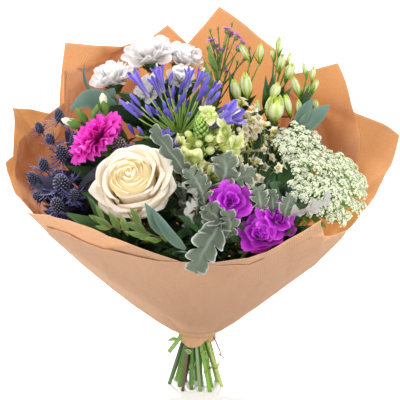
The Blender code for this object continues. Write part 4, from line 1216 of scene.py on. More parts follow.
def build_snapdragon():
    green, flower, young = Soup(), Soup(), Soup()
    path = add_stem(green, "snapdragon", joints=(30, 110, 170, 230))
    spike = SPIKE + UP * 300
    tip = vec(2, -46, 326)
    limb(green, spike - UP * 20, tip, 2.2, (1, 0, 0), 0.9, sides=8)
    for step in range(SNAPDRAGON_TIP_LEAVES):
        share = step / SNAPDRAGON_TIP_LEAVES
        place = tip * (1 - share) + (spike + UP * 6) * share
        radius = 2.4 + 6.2 * math.sqrt(share)
        out = spun(step * SPIRAL, 0.9 - share * 0.9)
        foot = place + unit(out) * radius * 0.4
        leaf_curve(young, [foot, foot + unit(out) * radius * 0.7 - UP * 0.4,
                           foot + unit(out) * radius * 0.8 + UP * 3.4], 4.2 + share * 1.6, OVAL,
                   facing=-unit(out), cup=0.5, own=share)
    for middle, radius in SNAPDRAGON_BUDS:
        middle = vec(*middle)
        out = unit(middle - (SPIKE + UP * (middle[2] - 6)))
        limb(green, SPIKE + UP * (middle[2] - 8), middle - out * radius, 0.9)
        line = [middle + out * radius * t for t in (-1.3, -0.8, -0.1, 0.6, 1.1)]
        flower.tube(line, np.array((0.35, 0.8, 1.0, 0.8, 0.2)) * radius, own=rng.random(), sides=10,
                    tone=(0.0, 0.2, 0.4, 0.6, 0.8))
    for mouth, facing, size in SNAPDRAGON_FLORETS:
        mouth = vec(*mouth)
        facing = unit(facing)
        throat = mouth - facing * 9 * size
        limb(green, SPIKE + UP * (mouth[2] - 8), throat, 1.0)
        flower.tube([throat - facing * 1, throat + facing * 3 * size, mouth - facing * 1.5 * size,
                     mouth + facing * 1.5 * size], np.array((2.0, 3.8, 5.0, 5.6)) * size,
                    own=rng.random(), sides=12, tone=(0.1, 0.3, 0.5, 0.6))
        place = Place(mouth, facing, 0.0, size)
        for azimuth, length, rise in SNAPDRAGON_LIPS:
            shape = petal_shape(length * size * 1.1, 12 * size, (0.5, 0.7, 0.95, 1.0, 0.85, 0.5),
                                (0.4, -0.4, -1.0, -1.5), cup=0.25, ruffle=0.8, waves=2.0,
                                phase=rng.uniform(0, 6), size=(12, 11))
            flower.petal(scaled(shape, 1.1), place, azimuth, 4.0, -1, rise)
        lip = [place.out((0, -1, z)) for z in (-2, 1, 3.4, 4.4)]
        flower.tube(lip, np.array((4.2, 4.2, 3.0, 0.6)) * size, sides=10, tone=0.15)
    stem_leaves(green, path, 150 + 14 * np.arange(9), 0.8, (12, 20), 6, 6, 0.3)
    add_piece("snapdragon_spike", green, FRESH_LEAF, "snapdragon")
    add_piece("snapdragon_tip", young, LIME_STEM)
    add_piece("snapdragon_florets", flower, LIME)


ALSTROEMERIA = {
    # branches: (middle of the bud, direction, length, width, how far it has opened)
    "alstroemeria_1": (((54, 108, 361), (-0.5, 0, 0.9), 21, 8.5, 0.2),
        ((72, 108, 361), (0.05, 0, 1), 20, 9.5, 0.5),
        ((55, 62, 334), (-0.1, -0.2, 1), 31, 14.5, 0.4),
        ((44, 66, 327), (-0.25, 0, 1), 27, 13, 0.2), ((67, 50, 310), (0.0, -0.2, 1), 24, 8.5, 0.2)),
    "alstroemeria_2": (((93, 108, 369), (0.05, 0, 1), 19, 8, 0.1),
        ((96, 104, 350), (0.15, 0, 1), 21, 10.5, 0.25),
        ((105, 98, 341), (0.3, 0, 1), 22, 12.5, 0.3), ((86, 112, 358), (-0.2, 0, 1), 12, 5.5, 0),
        ((105, 108, 354), (0.25, 0, 1), 13, 5, 0), ((87, 60, 328), (0.3, -0.1, 1), 22, 13, 0.3),
        ((86, 45, 311), (0.05, -0.35, 1), 34, 25, 0.9),
        ((101, 50, 315), (-0.25, -0.2, 1), 26, 10, 0.3)),
    "alstroemeria_3": (((131, 90, 341), (0.1, 0, 1), 16, 8, 0.1),
        ((134, 86, 328), (0.3, 0, 1), 15, 8, 0), ((126, 88, 322), (-0.1, -0.1, 1), 14, 8, 0),
        ((122, 92, 345), (-0.2, 0, 1), 15, 6, 0), ((112, 84, 327), (-0.35, 0, 1), 25, 11, 0.25),
        ((114, 56, 309), (-0.15, -0.1, 1), 22, 8.5, 0.2), ((133, 62, 312), (0.1, 0, 1), 12, 7, 0)),
}


def lily_bud(flower, green, middle, direction, length, width, opened):
    """A bud of six lapped petals that part at its tip as it opens; returns its foot."""
    direction = unit(direction)
    foot = middle - direction * length / 2
    place = Place(foot, direction, rng.uniform(0, 6))
    radius = width / 2
    for order in range(6):
        outer = order < 3
        azimuth = order * 120 + (0 if outer else 60)
        belly = radius * (1.0 if outer else 0.86)
        tip = radius * (0.10 + 0.75 * opened) if outer else radius * (0.05 + 0.5 * opened)
        reach = length * (1.0 if outer else 0.97)
        cup_petal(flower, place, azimuth, 62,
                  [(radius * 0.22, 0), (belly * 0.66, reach * 0.2), (belly, reach * 0.5),
                   (belly * 0.72 + tip * 0.3, reach * 0.80), (tip, reach * 1.04)],
                  [(radius * 0.22, 0), (belly * 0.60, reach * 0.2), (belly * 0.9, reach * 0.48),
                   (belly * 0.7 + tip * 0.2, reach * 0.72),
                   (tip * 0.9 + radius * 0.3, reach * 0.80)],
                  tuck=0.5, wobble=0.4, size=(15, 13), narrow=0.8, own="rib", top_width=0.5)
    hip = [foot - direction * 3, foot - direction * 1, foot + direction * 2]
    green.tube(hip, np.array((0.6, 1.0, 0.8)) * max(1.6, radius * 0.36), sides=8)
    return foot - direction * 3


def build_alstroemeria():
    for node, buds in ALSTROEMERIA.items():
        green, flower = Soup(), Soup()
        path = add_stem(green, node, joints=(36, 100, 160, 220))
        top = vec(*STEMS[node][0])
        for middle, direction, length, width, opened in buds:
            foot = lily_bud(flower, green, vec(*middle), direction, length, width * 0.9,
                            opened * 0.62)
            fork = top + (foot - top) * 0.12
            limb(green, top - UP * 4, foot, 1.1, (fork - top) * 0.6 + UP * 2, 0.9)
            for _ in range(2):
                out = unit(vec(rng.uniform(-1, 1), rng.uniform(-1, 1), 1.3))
                leaf_curve(green, [foot - UP * 3, foot - UP * 2 + out * 7, foot + out * 15], 3.4,
                           facing=vec(-out[0], -out[1], 0.4), cup=0.5)
        stem_leaves(green, path, top[2] - 4 - 11 * np.arange(14), 1.1, (12, 25), 4, 9.5, 0.25,
                    start=40, roll=0.8)
        add_piece(node + "_greens", green, FRESH_LEAF, node)
        add_piece(node + "_buds", flower, STRIPED)


def daisy(flower, eye, origin, axis, radius, count, rise):
    """One ring of an aster's petals, about an eye."""
    place = Place(origin, axis, rng.uniform(0, 6))
    shape = petal_shape(radius, radius * 5.2 / count, STRAP, (0.25, 0.0, -0.25), cup=0.3,
                        size=(5, 3))
    whorl(flower, place, lambda: shape, count, radius * 0.16, 0, rise, 0, 9)
    eye.turned(place, (-radius * 0.15, 0, radius * 0.1, radius * 0.2),
               np.array((0.18, 0.26, 0.24, 0.08)) * radius, own=rng.random(), sides=7)


ASTERS = (
    ((34, 122, 384), (0.1, 0.15, 0.98), 7.5), ((17, 118, 371), (-0.25, 0.2, 0.95), 8.5),
    ((27, 113, 361), (0.15, 0.2, 0.97), 8), ((46, 120, 376), (0.7, 0.1, 0.7), 8),
    ((52, 118, 369), (0.55, 0.2, 0.8), 7.5), ((57, 112, 355), (0.5, 0.2, 0.8), 8),
    ((38, 134, 376), (0.2, 0.8, 0.5), 7.5), ((22, 130, 362), (-0.4, 0.8, 0.5), 7),
    ((48, 128, 360), (0.5, 0.8, 0.3), 7), ((32, 106, 342), (-0.2, -0.9, 0.3), 4))
ASTER_BUDS = (
    (15, 122, 384), (24, 124, 386), (40, 128, 390), (12, 112, 366), (60, 118, 364), (22, 108, 352),
    (46, 110, 350), (14, 126, 374))


ASTER_BLADES = ((10, 110, 314), (8, 112, 352), (14, 112, 370), (4, 108, 334), (16, 108, 340))


def build_asters():
    green, flower, eye = Soup(), Soup(), Soup()
    path = add_stem(green, "aster_spray")
    for middle, axis, radius in ASTERS:
        middle = vec(*middle)
        root = along(path, min(336, middle[2] - 30 - rng.uniform(0, 30)))
        foot = middle - unit(axis) * 5
        limb(green, root, foot, 0.9, vec(*rng.uniform(-3, 3, 2), 2), 0.6)
        for share, rise in ((0.86, 14), (0.8, 34), (0.66, 52)):
            daisy(flower, eye, middle, axis, radius * share, 14, rise)
        green.turned(Place(foot, axis), (0, 1.5, 4, 5), (0.8, 2.4, 2.9, 2.2), sides=8)
        for _ in range(3):
            share = rng.uniform(0.2, 0.9)
            place = root + (foot - root) * share
            out = unit(vec(rng.uniform(-1, 1), rng.uniform(-1, 1), 0.9))
            leaf_curve(green, [place, place + out * 6, place + out * 12], 1.8, cup=0.2)
    for bud in ASTER_BUDS:
        bud = vec(*bud)
        limb(green, along(path, bud[2] - 45), bud - UP * 3, 0.9, vec(*rng.uniform(-3, 3, 2), 0),
             0.7)
        green.tube([bud + UP * z for z in (-3.2, -1.6, 0, 2)], (0.6, 1.4, 1.7, 0.5), sides=7)
    stem_leaves(green, path, 210 + 5 * np.arange(26), 1.2, (8, 16), 1, 2.6, 0.3, sizes=(0.6, 1.2),
                roll=1)
    for tip in ASTER_BLADES:
        tip = vec(*tip)
        foot = along(path, tip[2] - 40)
        leaf_curve(green, [foot, (foot + tip) / 2 + vec(-3, -2, 4), tip], 8,
                   facing=vec(0, -1, 0.2), cup=0.3)
    add_piece("aster_greens", green, OLIVE_LEAF, "aster_spray")
    add_piece("aster_flowers", flower, ASTER)
    add_piece("aster_eyes", eye, SEED)


WAXFLOWERS = {
    "waxflower_spray_1": ((53, 10, 314), (52, 0, 295), (51, 20, 325), (38, 0, 308), (37, -5, 297),
        (42, 12, 319), (56, 5, 308), (64, 5, 300), (67, 20, 308), (48, -8, 286), (33, -18, 287),
        (70, 26, 296), (40, 28, 312), (58, 34, 304)),
    "waxflower_spray_2": ((73, 0, 285), (27, -42, 277), (44, -32, 278), (61, -22, 270),
        (72, -17, 264), (87, -22, 262), (62, -46, 262), (92, 5, 278), (84, 18, 294), (76, 8, 289),
        (57, -12, 282), (52, -36, 269), (80, -10, 272), (92, -28, 270), (71, 14, 299), (60, 2, 290),
        (66, -4, 276), (98, -14, 266), (84, 8, 282), (48, -22, 288)),
}
WAX_BUDS = (
    (82, -2, 273), (93, -7, 267), (78, 22, 302), (45, -2, 303), (58, -28, 262), (99, 6, 274))


def build_waxflowers():
    for node, heads in WAXFLOWERS.items():
        green, flower, eye = Soup(), Soup(), Soup()
        path = add_stem(green, node)
        more = [np.array(head) + rng.uniform(-11, 11, 3) for head in heads] + [
            np.array(head) + rng.uniform(-9, 9, 3) for head in heads[::2]]
        for number, middle in enumerate((*heads, *more)):
            middle = vec(*middle)
            root = along(path, middle[2] - 34 - number % 4 * 7)
            out = unit(vec(middle[0] - root[0], middle[1] - root[1], 8))
            axis = unit(out + vec(0, -0.5, 0.3) + 0.45 * rng.normal(size=3))
            limb(green, root, middle - axis * 3, 0.6, vec(*rng.uniform(-4, 4, 2), 1), 0.45)
            place = Place(middle, axis, rng.uniform(0, 6))
            petal = petal_shape(5.6, 5.0, (0.4, 0.85, 1.0, 0.85, 0.35), (0.5, 0.1, -0.2), cup=0.3,
                                size=(5, 5))
            whorl(flower, place, lambda: petal, 5, 1.5, 0, 18, 0, 6)
            eye.turned(place, (-3.2, -1.4, 0, 0.9), (0.7, 1.7, 2.0, 0.8), own=rng.random(), sides=8)
            for azimuth in np.arange(5) * 72:
                dot = place.around(azimuth, 1.3, 1.0)
                eye.tube([dot, dot + axis * 0.5, dot + axis * 0.9], (0.35, 0.45, 0.2), own=0.95,
                         sides=4)
        for order in range(44):
            root = along(path, path[-1, 2] - order * 2.9)
            way = spun(order * SPIRAL, 0.9)
            spread = rng.uniform(8, 24) * (1 if order < 26 else 0.5)
            foot = root + way * spread * 0.5
            limb(green, root, foot, 0.5, (0, 0, 1), 0.4, sides=4, steps=4)
            for _ in range(2):
                turn = unit(way + 0.7 * rng.normal(size=3))
                leaf_curve(green, [foot, foot + turn * 6, foot + turn * 12], 1.5, cup=0.2)
        if node == "waxflower_spray_2":
            for bud in WAX_BUDS:
                bud = vec(*bud)
                limb(green, bud - vec(6, -6, 16), bud - UP * 2, 0.5, (0, 0, 2), 0.4)
                flower.tube([bud + UP * z for z in (-2.6, -1.2, 0.8, 2.4)], (1.2, 2.6, 2.7, 0.9),
                            own=0.1, sides=9, tone=0.9)
        add_piece(node + "_greens", green, WAX_GREEN, node)
        add_piece(node + "_flowers", flower, WAX_PETAL)
        add_piece(node + "_eyes", eye, SEED)


AMMI_LEAVES, AMMI_RAYS = 34, 25
AMMI = {
    # top of the stalk, middle of the dome, axis, radius, small umbels
    "ammi_1": ((116, -32, 222), (141, -40, 253), (0.36, -0.56, 0.74), 47, 74),
    "ammi_2": ((98, 20, 254), (112, 8, 283), (0.22, -0.5, 0.84), 31, 34),
    "ammi_3": ((146, 18, 214), (160, 6, 250), (0.42, -0.4, 0.8), 33, 34),
}


def build_ammi():
    for node, (top, middle, axis, radius, count) in AMMI.items():
        green, lace = Soup(), Soup()
        add_stem(green, node)
        top = vec(*top)
        place = Place(middle, axis)
        for order in range(AMMI_LEAVES):
            share = math.sqrt((order + 0.5) / AMMI_LEAVES)
            end = place.around(order * SPIRAL, radius * share,
                               -radius * (0.16 + 0.25 * share ** 2) + rng.uniform(-3, 3))
            start = top + (end - top) * 0.25
            leaf_curve(green, [start, start + (end - start) * 0.5 - UP * 2, end], 10, BLADE,
                       facing=place.rows[2], cup=0.2, own=0.9)
        for step in range(count):
            share = math.sqrt((step + 0.4) / count)
            r = radius * share
            dome = place.around(step * FINE_SPIRAL, r,
                                radius * 0.22 * (1 - 1.3 * share ** 2) + rng.uniform(-5, 3))
            way = unit(dome - top)
            limb(green, top, dome - way * 6, 0.65, place.rows[2] * -0.05 * r, 0.5, sides=5, steps=6)
            small = Place(dome - way * 6, unit(way + place.rows[2] * 0.8))
            wide = radius * rng.uniform(0.84, 0.98) / math.sqrt(count)
            for ray in range(AMMI_RAYS):
                s = math.sqrt((ray + 0.3) / AMMI_RAYS)
                head = small.around(ray * FINE_SPIRAL, wide * s,
                                    7.5 - 3.8 * s * s + rng.uniform(-0.7, 0.7))
                if ray % 2:
                    green.tube([small.origin, (small.origin + head) / 2, head], (0.3, 0.26, 0.2),
                               sides=3, ends=False)
                out = unit(head - small.origin)
                if ray % 3:
                    tiny = Place(head, out, rng.uniform(0, 6))
                    petal = petal_shape(1.8, 1.6, (0.5, 1.0, 0.8), (0.3, 0.1), cup=0.2, size=(3, 2))
                    whorl(lace, tiny, lambda: petal, 5, 0.2, 0, 22, 0, 12)
                else:
                    lace.tube([head - out * 0.8, head, head + out * 0.8], (0.4, 0.8, 0.4),
                              own=rng.random(), sides=4, tone=rng.uniform(0.1, 0.8))
        for step in range(9):
            out = unit(spun(step * 40, 0.3) @ place.rows)
            leaf_curve(green, [top, top + out * 9, top + out * 17 - UP * 2], 1.5, cup=0.2)
        add_piece(node + "_rays", green, LIME_STEM, node)
        add_piece(node + "_lace", lace, LACE)


THISTLE_BRACTS = 15
ERYNGIUM = {
    # heads: middle, axis, length
    "eryngium_spray_1": (((-176, 46, 290), (-0.4, 0, 0.9), 12), ((-153, 44, 305), (-0.1, 0, 1), 14),
        ((-148, 6, 274), (-0.1, -0.3, 0.9), 17), ((-162, 24, 284), (-0.4, 0.3, 0.9), 12),
        ((-134, 12, 288), (0.2, -0.2, 0.9), 12)),
    "eryngium_spray_2": (((-167, 0, 262), (-0.2, -0.1, 1), 14),
        ((-178, -12, 250), (-0.4, -0.2, 0.9), 15), ((-145, -34, 252), (-0.1, -0.4, 0.9), 21),
        ((-148, -56, 236), (-0.1, -0.5, 0.8), 17), ((-152, -14, 254), (0.1, -0.3, 0.9), 14),
        ((-171, -30, 236), (-0.5, -0.4, 0.7), 13), ((-130, -52, 246), (0.2, -0.4, 0.9), 12)),
    "eryngium_spray_3": (((-83, -24, 292), (-0.1, -0.3, 0.95), 18),),
}


def thistle(head, bract, middle, axis, length):
    """A cone set with points in spirals, over a ring of narrow spiny bracts; returns its foot."""
    axis = unit(axis)
    place = Place(middle - axis * length / 2, axis)
    radius = length * 0.40
    z = np.linspace(0, 1, 8)
    radii = radius * np.sqrt(np.clip(1 - (2 * z - 0.86) ** 2 / 1.32, 0.03, 1))
    head.turned(place, length * z, radii * 0.86, own=0.1, sides=12, tone=0.05)
    count = int(34 + 2.6 * length)
    for step in range(count):
        t = (step + 0.5) / count
        azimuth = step * FINE_SPIRAL
        root = place.around(azimuth, np.interp(t, z, radii) * 0.82, length * t)
        way = place.way(azimuth, np.interp(t, (0, 0.5, 1), (-5, 30, 80)))
        head.tube([root, root + way * length * 0.05, root + way * length * 0.13],
                  np.array((0.055, 0.05, 0.016)) * length, own=rng.random(), sides=4,
                  tone=(0.1, 0.75, 1.0))
    for azimuth in np.arange(THISTLE_BRACTS) * 360 / THISTLE_BRACTS + rng.uniform(0, 40):
        lean = rng.uniform(-25, 45)
        reach = length * rng.uniform(0.8, 1.5) + 3
        way = place.way(azimuth + rng.uniform(-8, 8), lean)
        root = place.out((0, 0, length * 0.04))
        inward = place.way(azimuth, lean + 90)
        tip = root + way * reach + inward * reach * 0.16
        leaf_curve(bract, [root, root + way * reach * 0.5, tip],
                   length * 0.13, (0.7, 1.0, 0.9, 0.6, 0.3, 0.05), facing=inward, cup=0.5)
        for side in (-1, 1, -0.7, 0.7):
            spine = unit(way + side * 0.8 * np.cross(way, inward))
            start = root + way * reach * rng.uniform(0.25, 0.75)
            leaf_curve(bract, [start, start + spine * reach * 0.16, start + spine * reach * 0.3],
                       length * 0.06, (1.0, 0.7, 0.4, 0.05), facing=inward, cup=0.2)
    return place.origin


def build_eryngium():
    for node, heads in ERYNGIUM.items():
        stem, head, bract = Soup(), Soup(), Soup()
        path = add_stem(stem, node)
        for middle, axis, length in heads:
            foot = thistle(head, bract, vec(*middle), axis, length)
            branch = limb(stem, along(path, foot[2] - 38), foot, 1.4,
                          vec(*rng.uniform(-3, 3, 2), -2), 0.9)
            for _ in range(3):
                place = branch[rng.integers(2, 6)]
                out = unit(vec(*rng.uniform(-1, 1, 2), 0.7))
                leaf_curve(bract, [place, place + out * 8, place + out * 16 + UP * 2], 2.6,
                           (0.6, 1.0, 0.8, 0.4, 0.05), cup=0.4)
        add_piece(node + "_stems", stem, THISTLE_STEM, node)
        add_piece(node + "_heads", head, THISTLE if node[-1] != "3" else THISTLE_MAUVE)
        add_piece(node + "_bracts", bract, BRACT)


STRIPED = petal_material("striped_petal", [(0.0, (0.42, 0.58, 0.02)), (0.2, (0.56, 0.69, 0.06)),
    (0.42, (0.86, 0.88, 0.6)), (0.8, (0.93, 0.94, 0.76)), (1.0, (0.56, 0.7, 0.04))],
    rim=(0.76, 0.83, 0.14), rim_share=0.9, vein=0.2, fine=(8, 0.3), through=0.35,
    through_tint=(0.96, 1.0, 0.4), spread=0.0, rib=(0.46, 0.62, 0.03), rib_share=0.95,
    rib_width=0.34)
WAX_PETAL = petal_material("wax_petal", [(0.0, (0.62, 0.52, 0.22)), (0.4, (0.86, 0.8, 0.62)),
    (1.0, (0.93, 0.88, 0.78))], vein=0.06, through=0.3, through_tint=(1.0, 0.95, 0.75))
WAX_GREEN = petal_material("wax_green", [(0.0, (0.13, 0.13, 0.04)), (0.5, (0.16, 0.22, 0.05)),
    (1.0, (0.24, 0.33, 0.08))], vein=0.25, through=0.12, spread=0.35)
LIME_STEM = petal_material("lime_stem", [(0.0, (0.3, 0.44, 0.09)), (0.5, (0.32, 0.48, 0.1)),
    (1.0, (0.38, 0.55, 0.14))], vein=0.18, through=0.15, spread=0.2)
THISTLE_STEM = petal_material("thistle_stem", [(0.0, (0.1, 0.17, 0.05)), (0.5, (0.055, 0.055, 0.1)),
    (1.0, (0.11, 0.11, 0.22))], vein=0.2, through=0.0, roughness=0.5)
THISTLE_MAUVE = petal_material("thistle_mauve", [(0.0, (0.05, 0.03, 0.03)),
    (0.4, (0.1, 0.06, 0.06)), (0.8, (0.34, 0.25, 0.27)), (1.0, (0.52, 0.42, 0.42))], vein=0.2,
    through=0.0, roughness=0.7)

build_agapanthus()
build_snapdragon()
build_alstroemeria()
build_asters()
build_waxflowers()
build_ammi()
build_eryngium()


# ---------------------------------------------------------------- leaves, near-black filling leaves as painted shade, and string

TO_FRONT = vec(0, -0.8, 0.6)
CLEAR_OF_WRAP = 9.0
LEAF_DROOP = 0.3


def keep_in(point):
    """Draws a point in until it is clear of the wrap."""
    heights, widths = zip(*WRAP_PROFILE)
    limit = np.interp(point[2], heights, widths) - CLEAR_OF_WRAP
    far = math.hypot(point[0], point[1] / FRONT_DEPTH)
    share = min(1.0, limit / max(far, 1e-6))
    return vec(point[0] * share, point[1] * share, point[2])


def leafy(soup, path, low, high, count, length, width, outline=BLADE, turn=0.0):
    """Broad leaves in a spiral up a stem, each on a short stalk, kept clear of the wrap."""
    for order in range(count):
        root = along(path, low + (high - low) * (order + rng.uniform(0, 0.8)) / count)
        reach = length * rng.uniform(0.75, 1.15)
        way = unit(spun(order * SPIRAL + turn, 0.8 * rng.uniform(0.7, 1.3)))
        knots = [keep_in(root + way * reach * share - UP * LEAF_DROOP * reach * sag)
                 for share, sag in ((0.35, 0), (0.7, 0.1), (1, 0.4))]
        leaf_curve(soup, [root, *knots], width * rng.uniform(0.8, 1.15), outline,
                   facing=vec(-0.3 * way[0], -0.3 * way[1], 1), cup=0.22,
                   roll=rng.uniform(-0.5, 0.5))


def leaf_stalk(soup, path, knots, below, into, radius, end_radius):
    """A stalk that leaves a stem below a leaf's foot and ends a little way into its blade."""
    foot, second = vec(*knots[0]), vec(*knots[1])
    root = along(path, min(path[-1, 2], foot[2] - below))
    limb(soup, root, foot + unit(second - foot) * into, radius, (0, 0, -2), end_radius)


DUSTY_MILLER = {
    # leaf: its blades as (width, lobes, knots, and the way it faces unless that is the front)
    "dusty_miller_leaf_1": (
        (31, 4, ((26, -112, 243), (20, -138, 240), (8, -156, 226), (-3, -163, 205))),
        (25, 3, ((30, -116, 240), (20, -128, 250), (8, -134, 262)))),
    "dusty_miller_leaf_2": ((26, 3, ((22, -112, 222), (19, -122, 241), (12, -114, 256))),
        (20, 3, ((30, -118, 222), (34, -126, 240), (30, -124, 254))),
        (13, 3, ((-4, -112, 238), (-8, -114, 250), (-2, -110, 260)), (0.6, 0.7, 0.4))),
    "dusty_miller_leaf_3": ((24, 5, ((9, -98, 248), (4, -94, 268), (-8, -86, 286))),
        (15, 3, ((2, -100, 258), (-6, -102, 268), (-16, -96, 272)), (0.1, 0.5, 0.9))),
    "dusty_miller_leaf_4": (
        (20, 3, ((-2, -84, 268), (-18, -80, 290), (-33, -70, 307), (-46, -60, 322))),),
    "dusty_miller_leaf_5": ((30, 3, ((24, -78, 266), (30, -84, 283), (27, -80, 299))),
        (24, 3, ((26, -78, 266), (44, -84, 276), (60, -80, 279)))),
    "dusty_miller_leaf_6": ((20, 4,
        ((90, -96, 236), (104, -106, 246), (122, -110, 254), (138, -104, 264)), (-0.2, 0.75, 0.62)),
        (17, 3, ((90, -100, 236), (91, -104, 248), (96, -100, 262)))),
    "dusty_miller_leaf_7": ((20, 3, ((66, -96, 244), (65, -102, 256), (62, -96, 270))),
        (14, 3, ((78, -96, 240), (78, -98, 252), (76, -92, 266)))),
}
SHOOTS = {
    "dusty_miller_shoot_1": ("dusty_miller_leaf_1", "dusty_miller_leaf_2", "dusty_miller_leaf_3"),
    "dusty_miller_shoot_2": ("dusty_miller_leaf_4", "dusty_miller_leaf_5"),
    "dusty_miller_shoot_3": ("dusty_miller_leaf_6", "dusty_miller_leaf_7"),
}


def build_dusty_miller():
    for shoot, leaves in SHOOTS.items():
        stalks = Soup()
        path = add_stem(stalks, shoot)
        for leaf in leaves:
            soup, back = Soup(), Soup()
            for width, lobes, knots, *facing in DUSTY_MILLER[leaf]:
                facing = vec(*facing[0]) if facing else TO_FRONT
                lobed_leaf(soup, back, knots, width, facing, lobes + 1)
                leaf_stalk(stalks, path, knots, 12, 3, 1.3, 1.1)
            over_rim = leaf == "dusty_miller_leaf_1"
            add_piece(leaf + "_blade", soup, FELT, leaf, inside=not over_rim)
            add_piece(leaf + "_underside", back, FELT_BACK, inside=not over_rim)
        small, back = Soup(), Soup()
        for order in range(4):
            root = along(path, path[-1, 2] - 6 - order * 12)
            way = spun(order * SPIRAL, 0.9)
            lobed_leaf(small, back, [root, root + way * 13, root + way * 27 - UP * 4], 17, UP, 3)
        add_piece(shoot + "_small_leaves", small, FELT)
        add_piece(shoot + "_small_undersides", back, FELT_BACK)
        add_piece(shoot + "_stalk", stalks, STEM_LOOKS["felt"], shoot)


EUCALYPTUS = {
    "eucalyptus_leaf_1": ((27, ((-90, 52, 304), (-106, 54, 316), (-122, 54, 320), (-142, 50, 310))),
        (22, ((-92, 56, 308), (-98, 58, 320), (-92, 60, 332))),
        (4, ((-112, 58, 318), (-122, 62, 332), (-126, 66, 346), (-125, 70, 358)))),
    "eucalyptus_leaf_2": (
        (11, ((-11, -142, 220), (-24, -142, 232), (-36, -134, 246), (-45, -124, 257))),
        (15, ((-30, -128, 230), (-40, -128, 244), (-52, -122, 262))),
        (7, ((-24, -138, 212), (-14, -142, 215), (-4, -140, 213)))),
    "eucalyptus_leaf_3": ((20, ((112, 40, 286), (124, 40, 298), (136, 42, 308), (147, 44, 317))),
        (16, ((110, 42, 288), (118, 44, 306), (128, 46, 324))),
        (26, ((96, -30, 232), (84, -46, 246), (70, -52, 256))),
        (24, ((92, -34, 230), (104, -44, 244), (112, -44, 258)))),
}
PISTACHE = {
    # leaf: its rib, then its leaflets as (foot, tip, width)
    "pistache_leaf_1": (((-42, -120, 222), (-64, -122, 230), (-84, -116, 234), (-98, -106, 238)),
        (((-78, -116, 228), (-84, -112, 240), (-90, -107, 248), 7.5),
        ((-86, -114, 232), (-97, -108, 237), (-105, -103, 241), 7),
        ((-96, -108, 234), (-104, -102, 238), (-111, -97, 240), 5.5),
        ((-88, -112, 230), (-97, -110, 231), (-104, -105, 231), 5),
        ((-70, -120, 226), (-74, -116, 238), (-77, -111, 246), 7),
        ((-94, -106, 236), (-100, -98, 244), (-104, -92, 250), 5))),
    "pistache_leaf_2": (((-34, -124, 224), (-48, -128, 232), (-60, -124, 240), (-70, -112, 248)),
        (((-50, -128, 231), (-62, -124, 238), (-76, -118, 239), 9),
        ((-46, -128, 230), (-58, -128, 230), (-74, -122, 232), 7.5),
        ((-56, -124, 238), (-62, -116, 246), (-68, -106, 252), 7),
        ((-36, -128, 224), (-48, -132, 226), (-58, -128, 226), 7),
        ((-40, -124, 230), (-46, -116, 240), (-50, -106, 248), 7),
        ((-30, -128, 222), (-36, -126, 232), (-40, -118, 240), 6))),
}


def build_eucalyptus():
    for number in (1, 2, 3):
        leaf, stem = f"eucalyptus_leaf_{number}", f"eucalyptus_stem_{number}"
        soup, stalks, shade_filler = Soup(), Soup(), Soup()
        path = add_stem(stalks, stem)
        for width, knots in EUCALYPTUS[leaf]:
            leaf_curve(soup, knots, width, OVAL, TO_FRONT, 0.18, 0.04)
            leaf_stalk(stalks, path, knots, 10, 2, 1.2, 0.9)
        # leaves low on the stem, near black as painted shade inside the wrap
        leafy(shade_filler, path, 150, path[-1, 2] - 4, 16, 40, 19, OVAL, turn=number * 50)
        add_piece(leaf + "_blades", soup, WAXY, leaf)
        add_piece(stem + "_stalk", stalks, STEM_LOOKS["deep"], stem)
        add_piece(stem + "_leaves", shade_filler, DARK_LEAF)


def build_pistache():
    stalks, shade_filler = Soup(), Soup()
    path = add_stem(stalks, "pistache_stem")
    for leaf, (knots, leaflets) in PISTACHE.items():
        soup = Soup()
        spine = curve(knots, 6)
        limb(stalks, along(path, path[-1, 2] - 4), knots[0], 1.3, (0, 0, 2), 1.1)
        stalks.tube(spine, np.linspace(1.1, 0.6, len(spine)), own=rng.random(), sides=6)
        for *line, width in leaflets:
            leaf_curve(soup, line, width, BLADE, TO_FRONT, 0.2)
        add_piece(leaf + "_leaflets", soup, OLIVE_LEAF, leaf)
    # leaves low on the stem, near black as painted shade inside the wrap
    leafy(shade_filler, path, 150, path[-1, 2], 22, 38, 13, turn=80)
    add_piece("pistache_stalk", stalks, STEM_LOOKS["brown"], "pistache_stem")
    add_piece("pistache_low_leaves", shade_filler, DARK_LEAF)


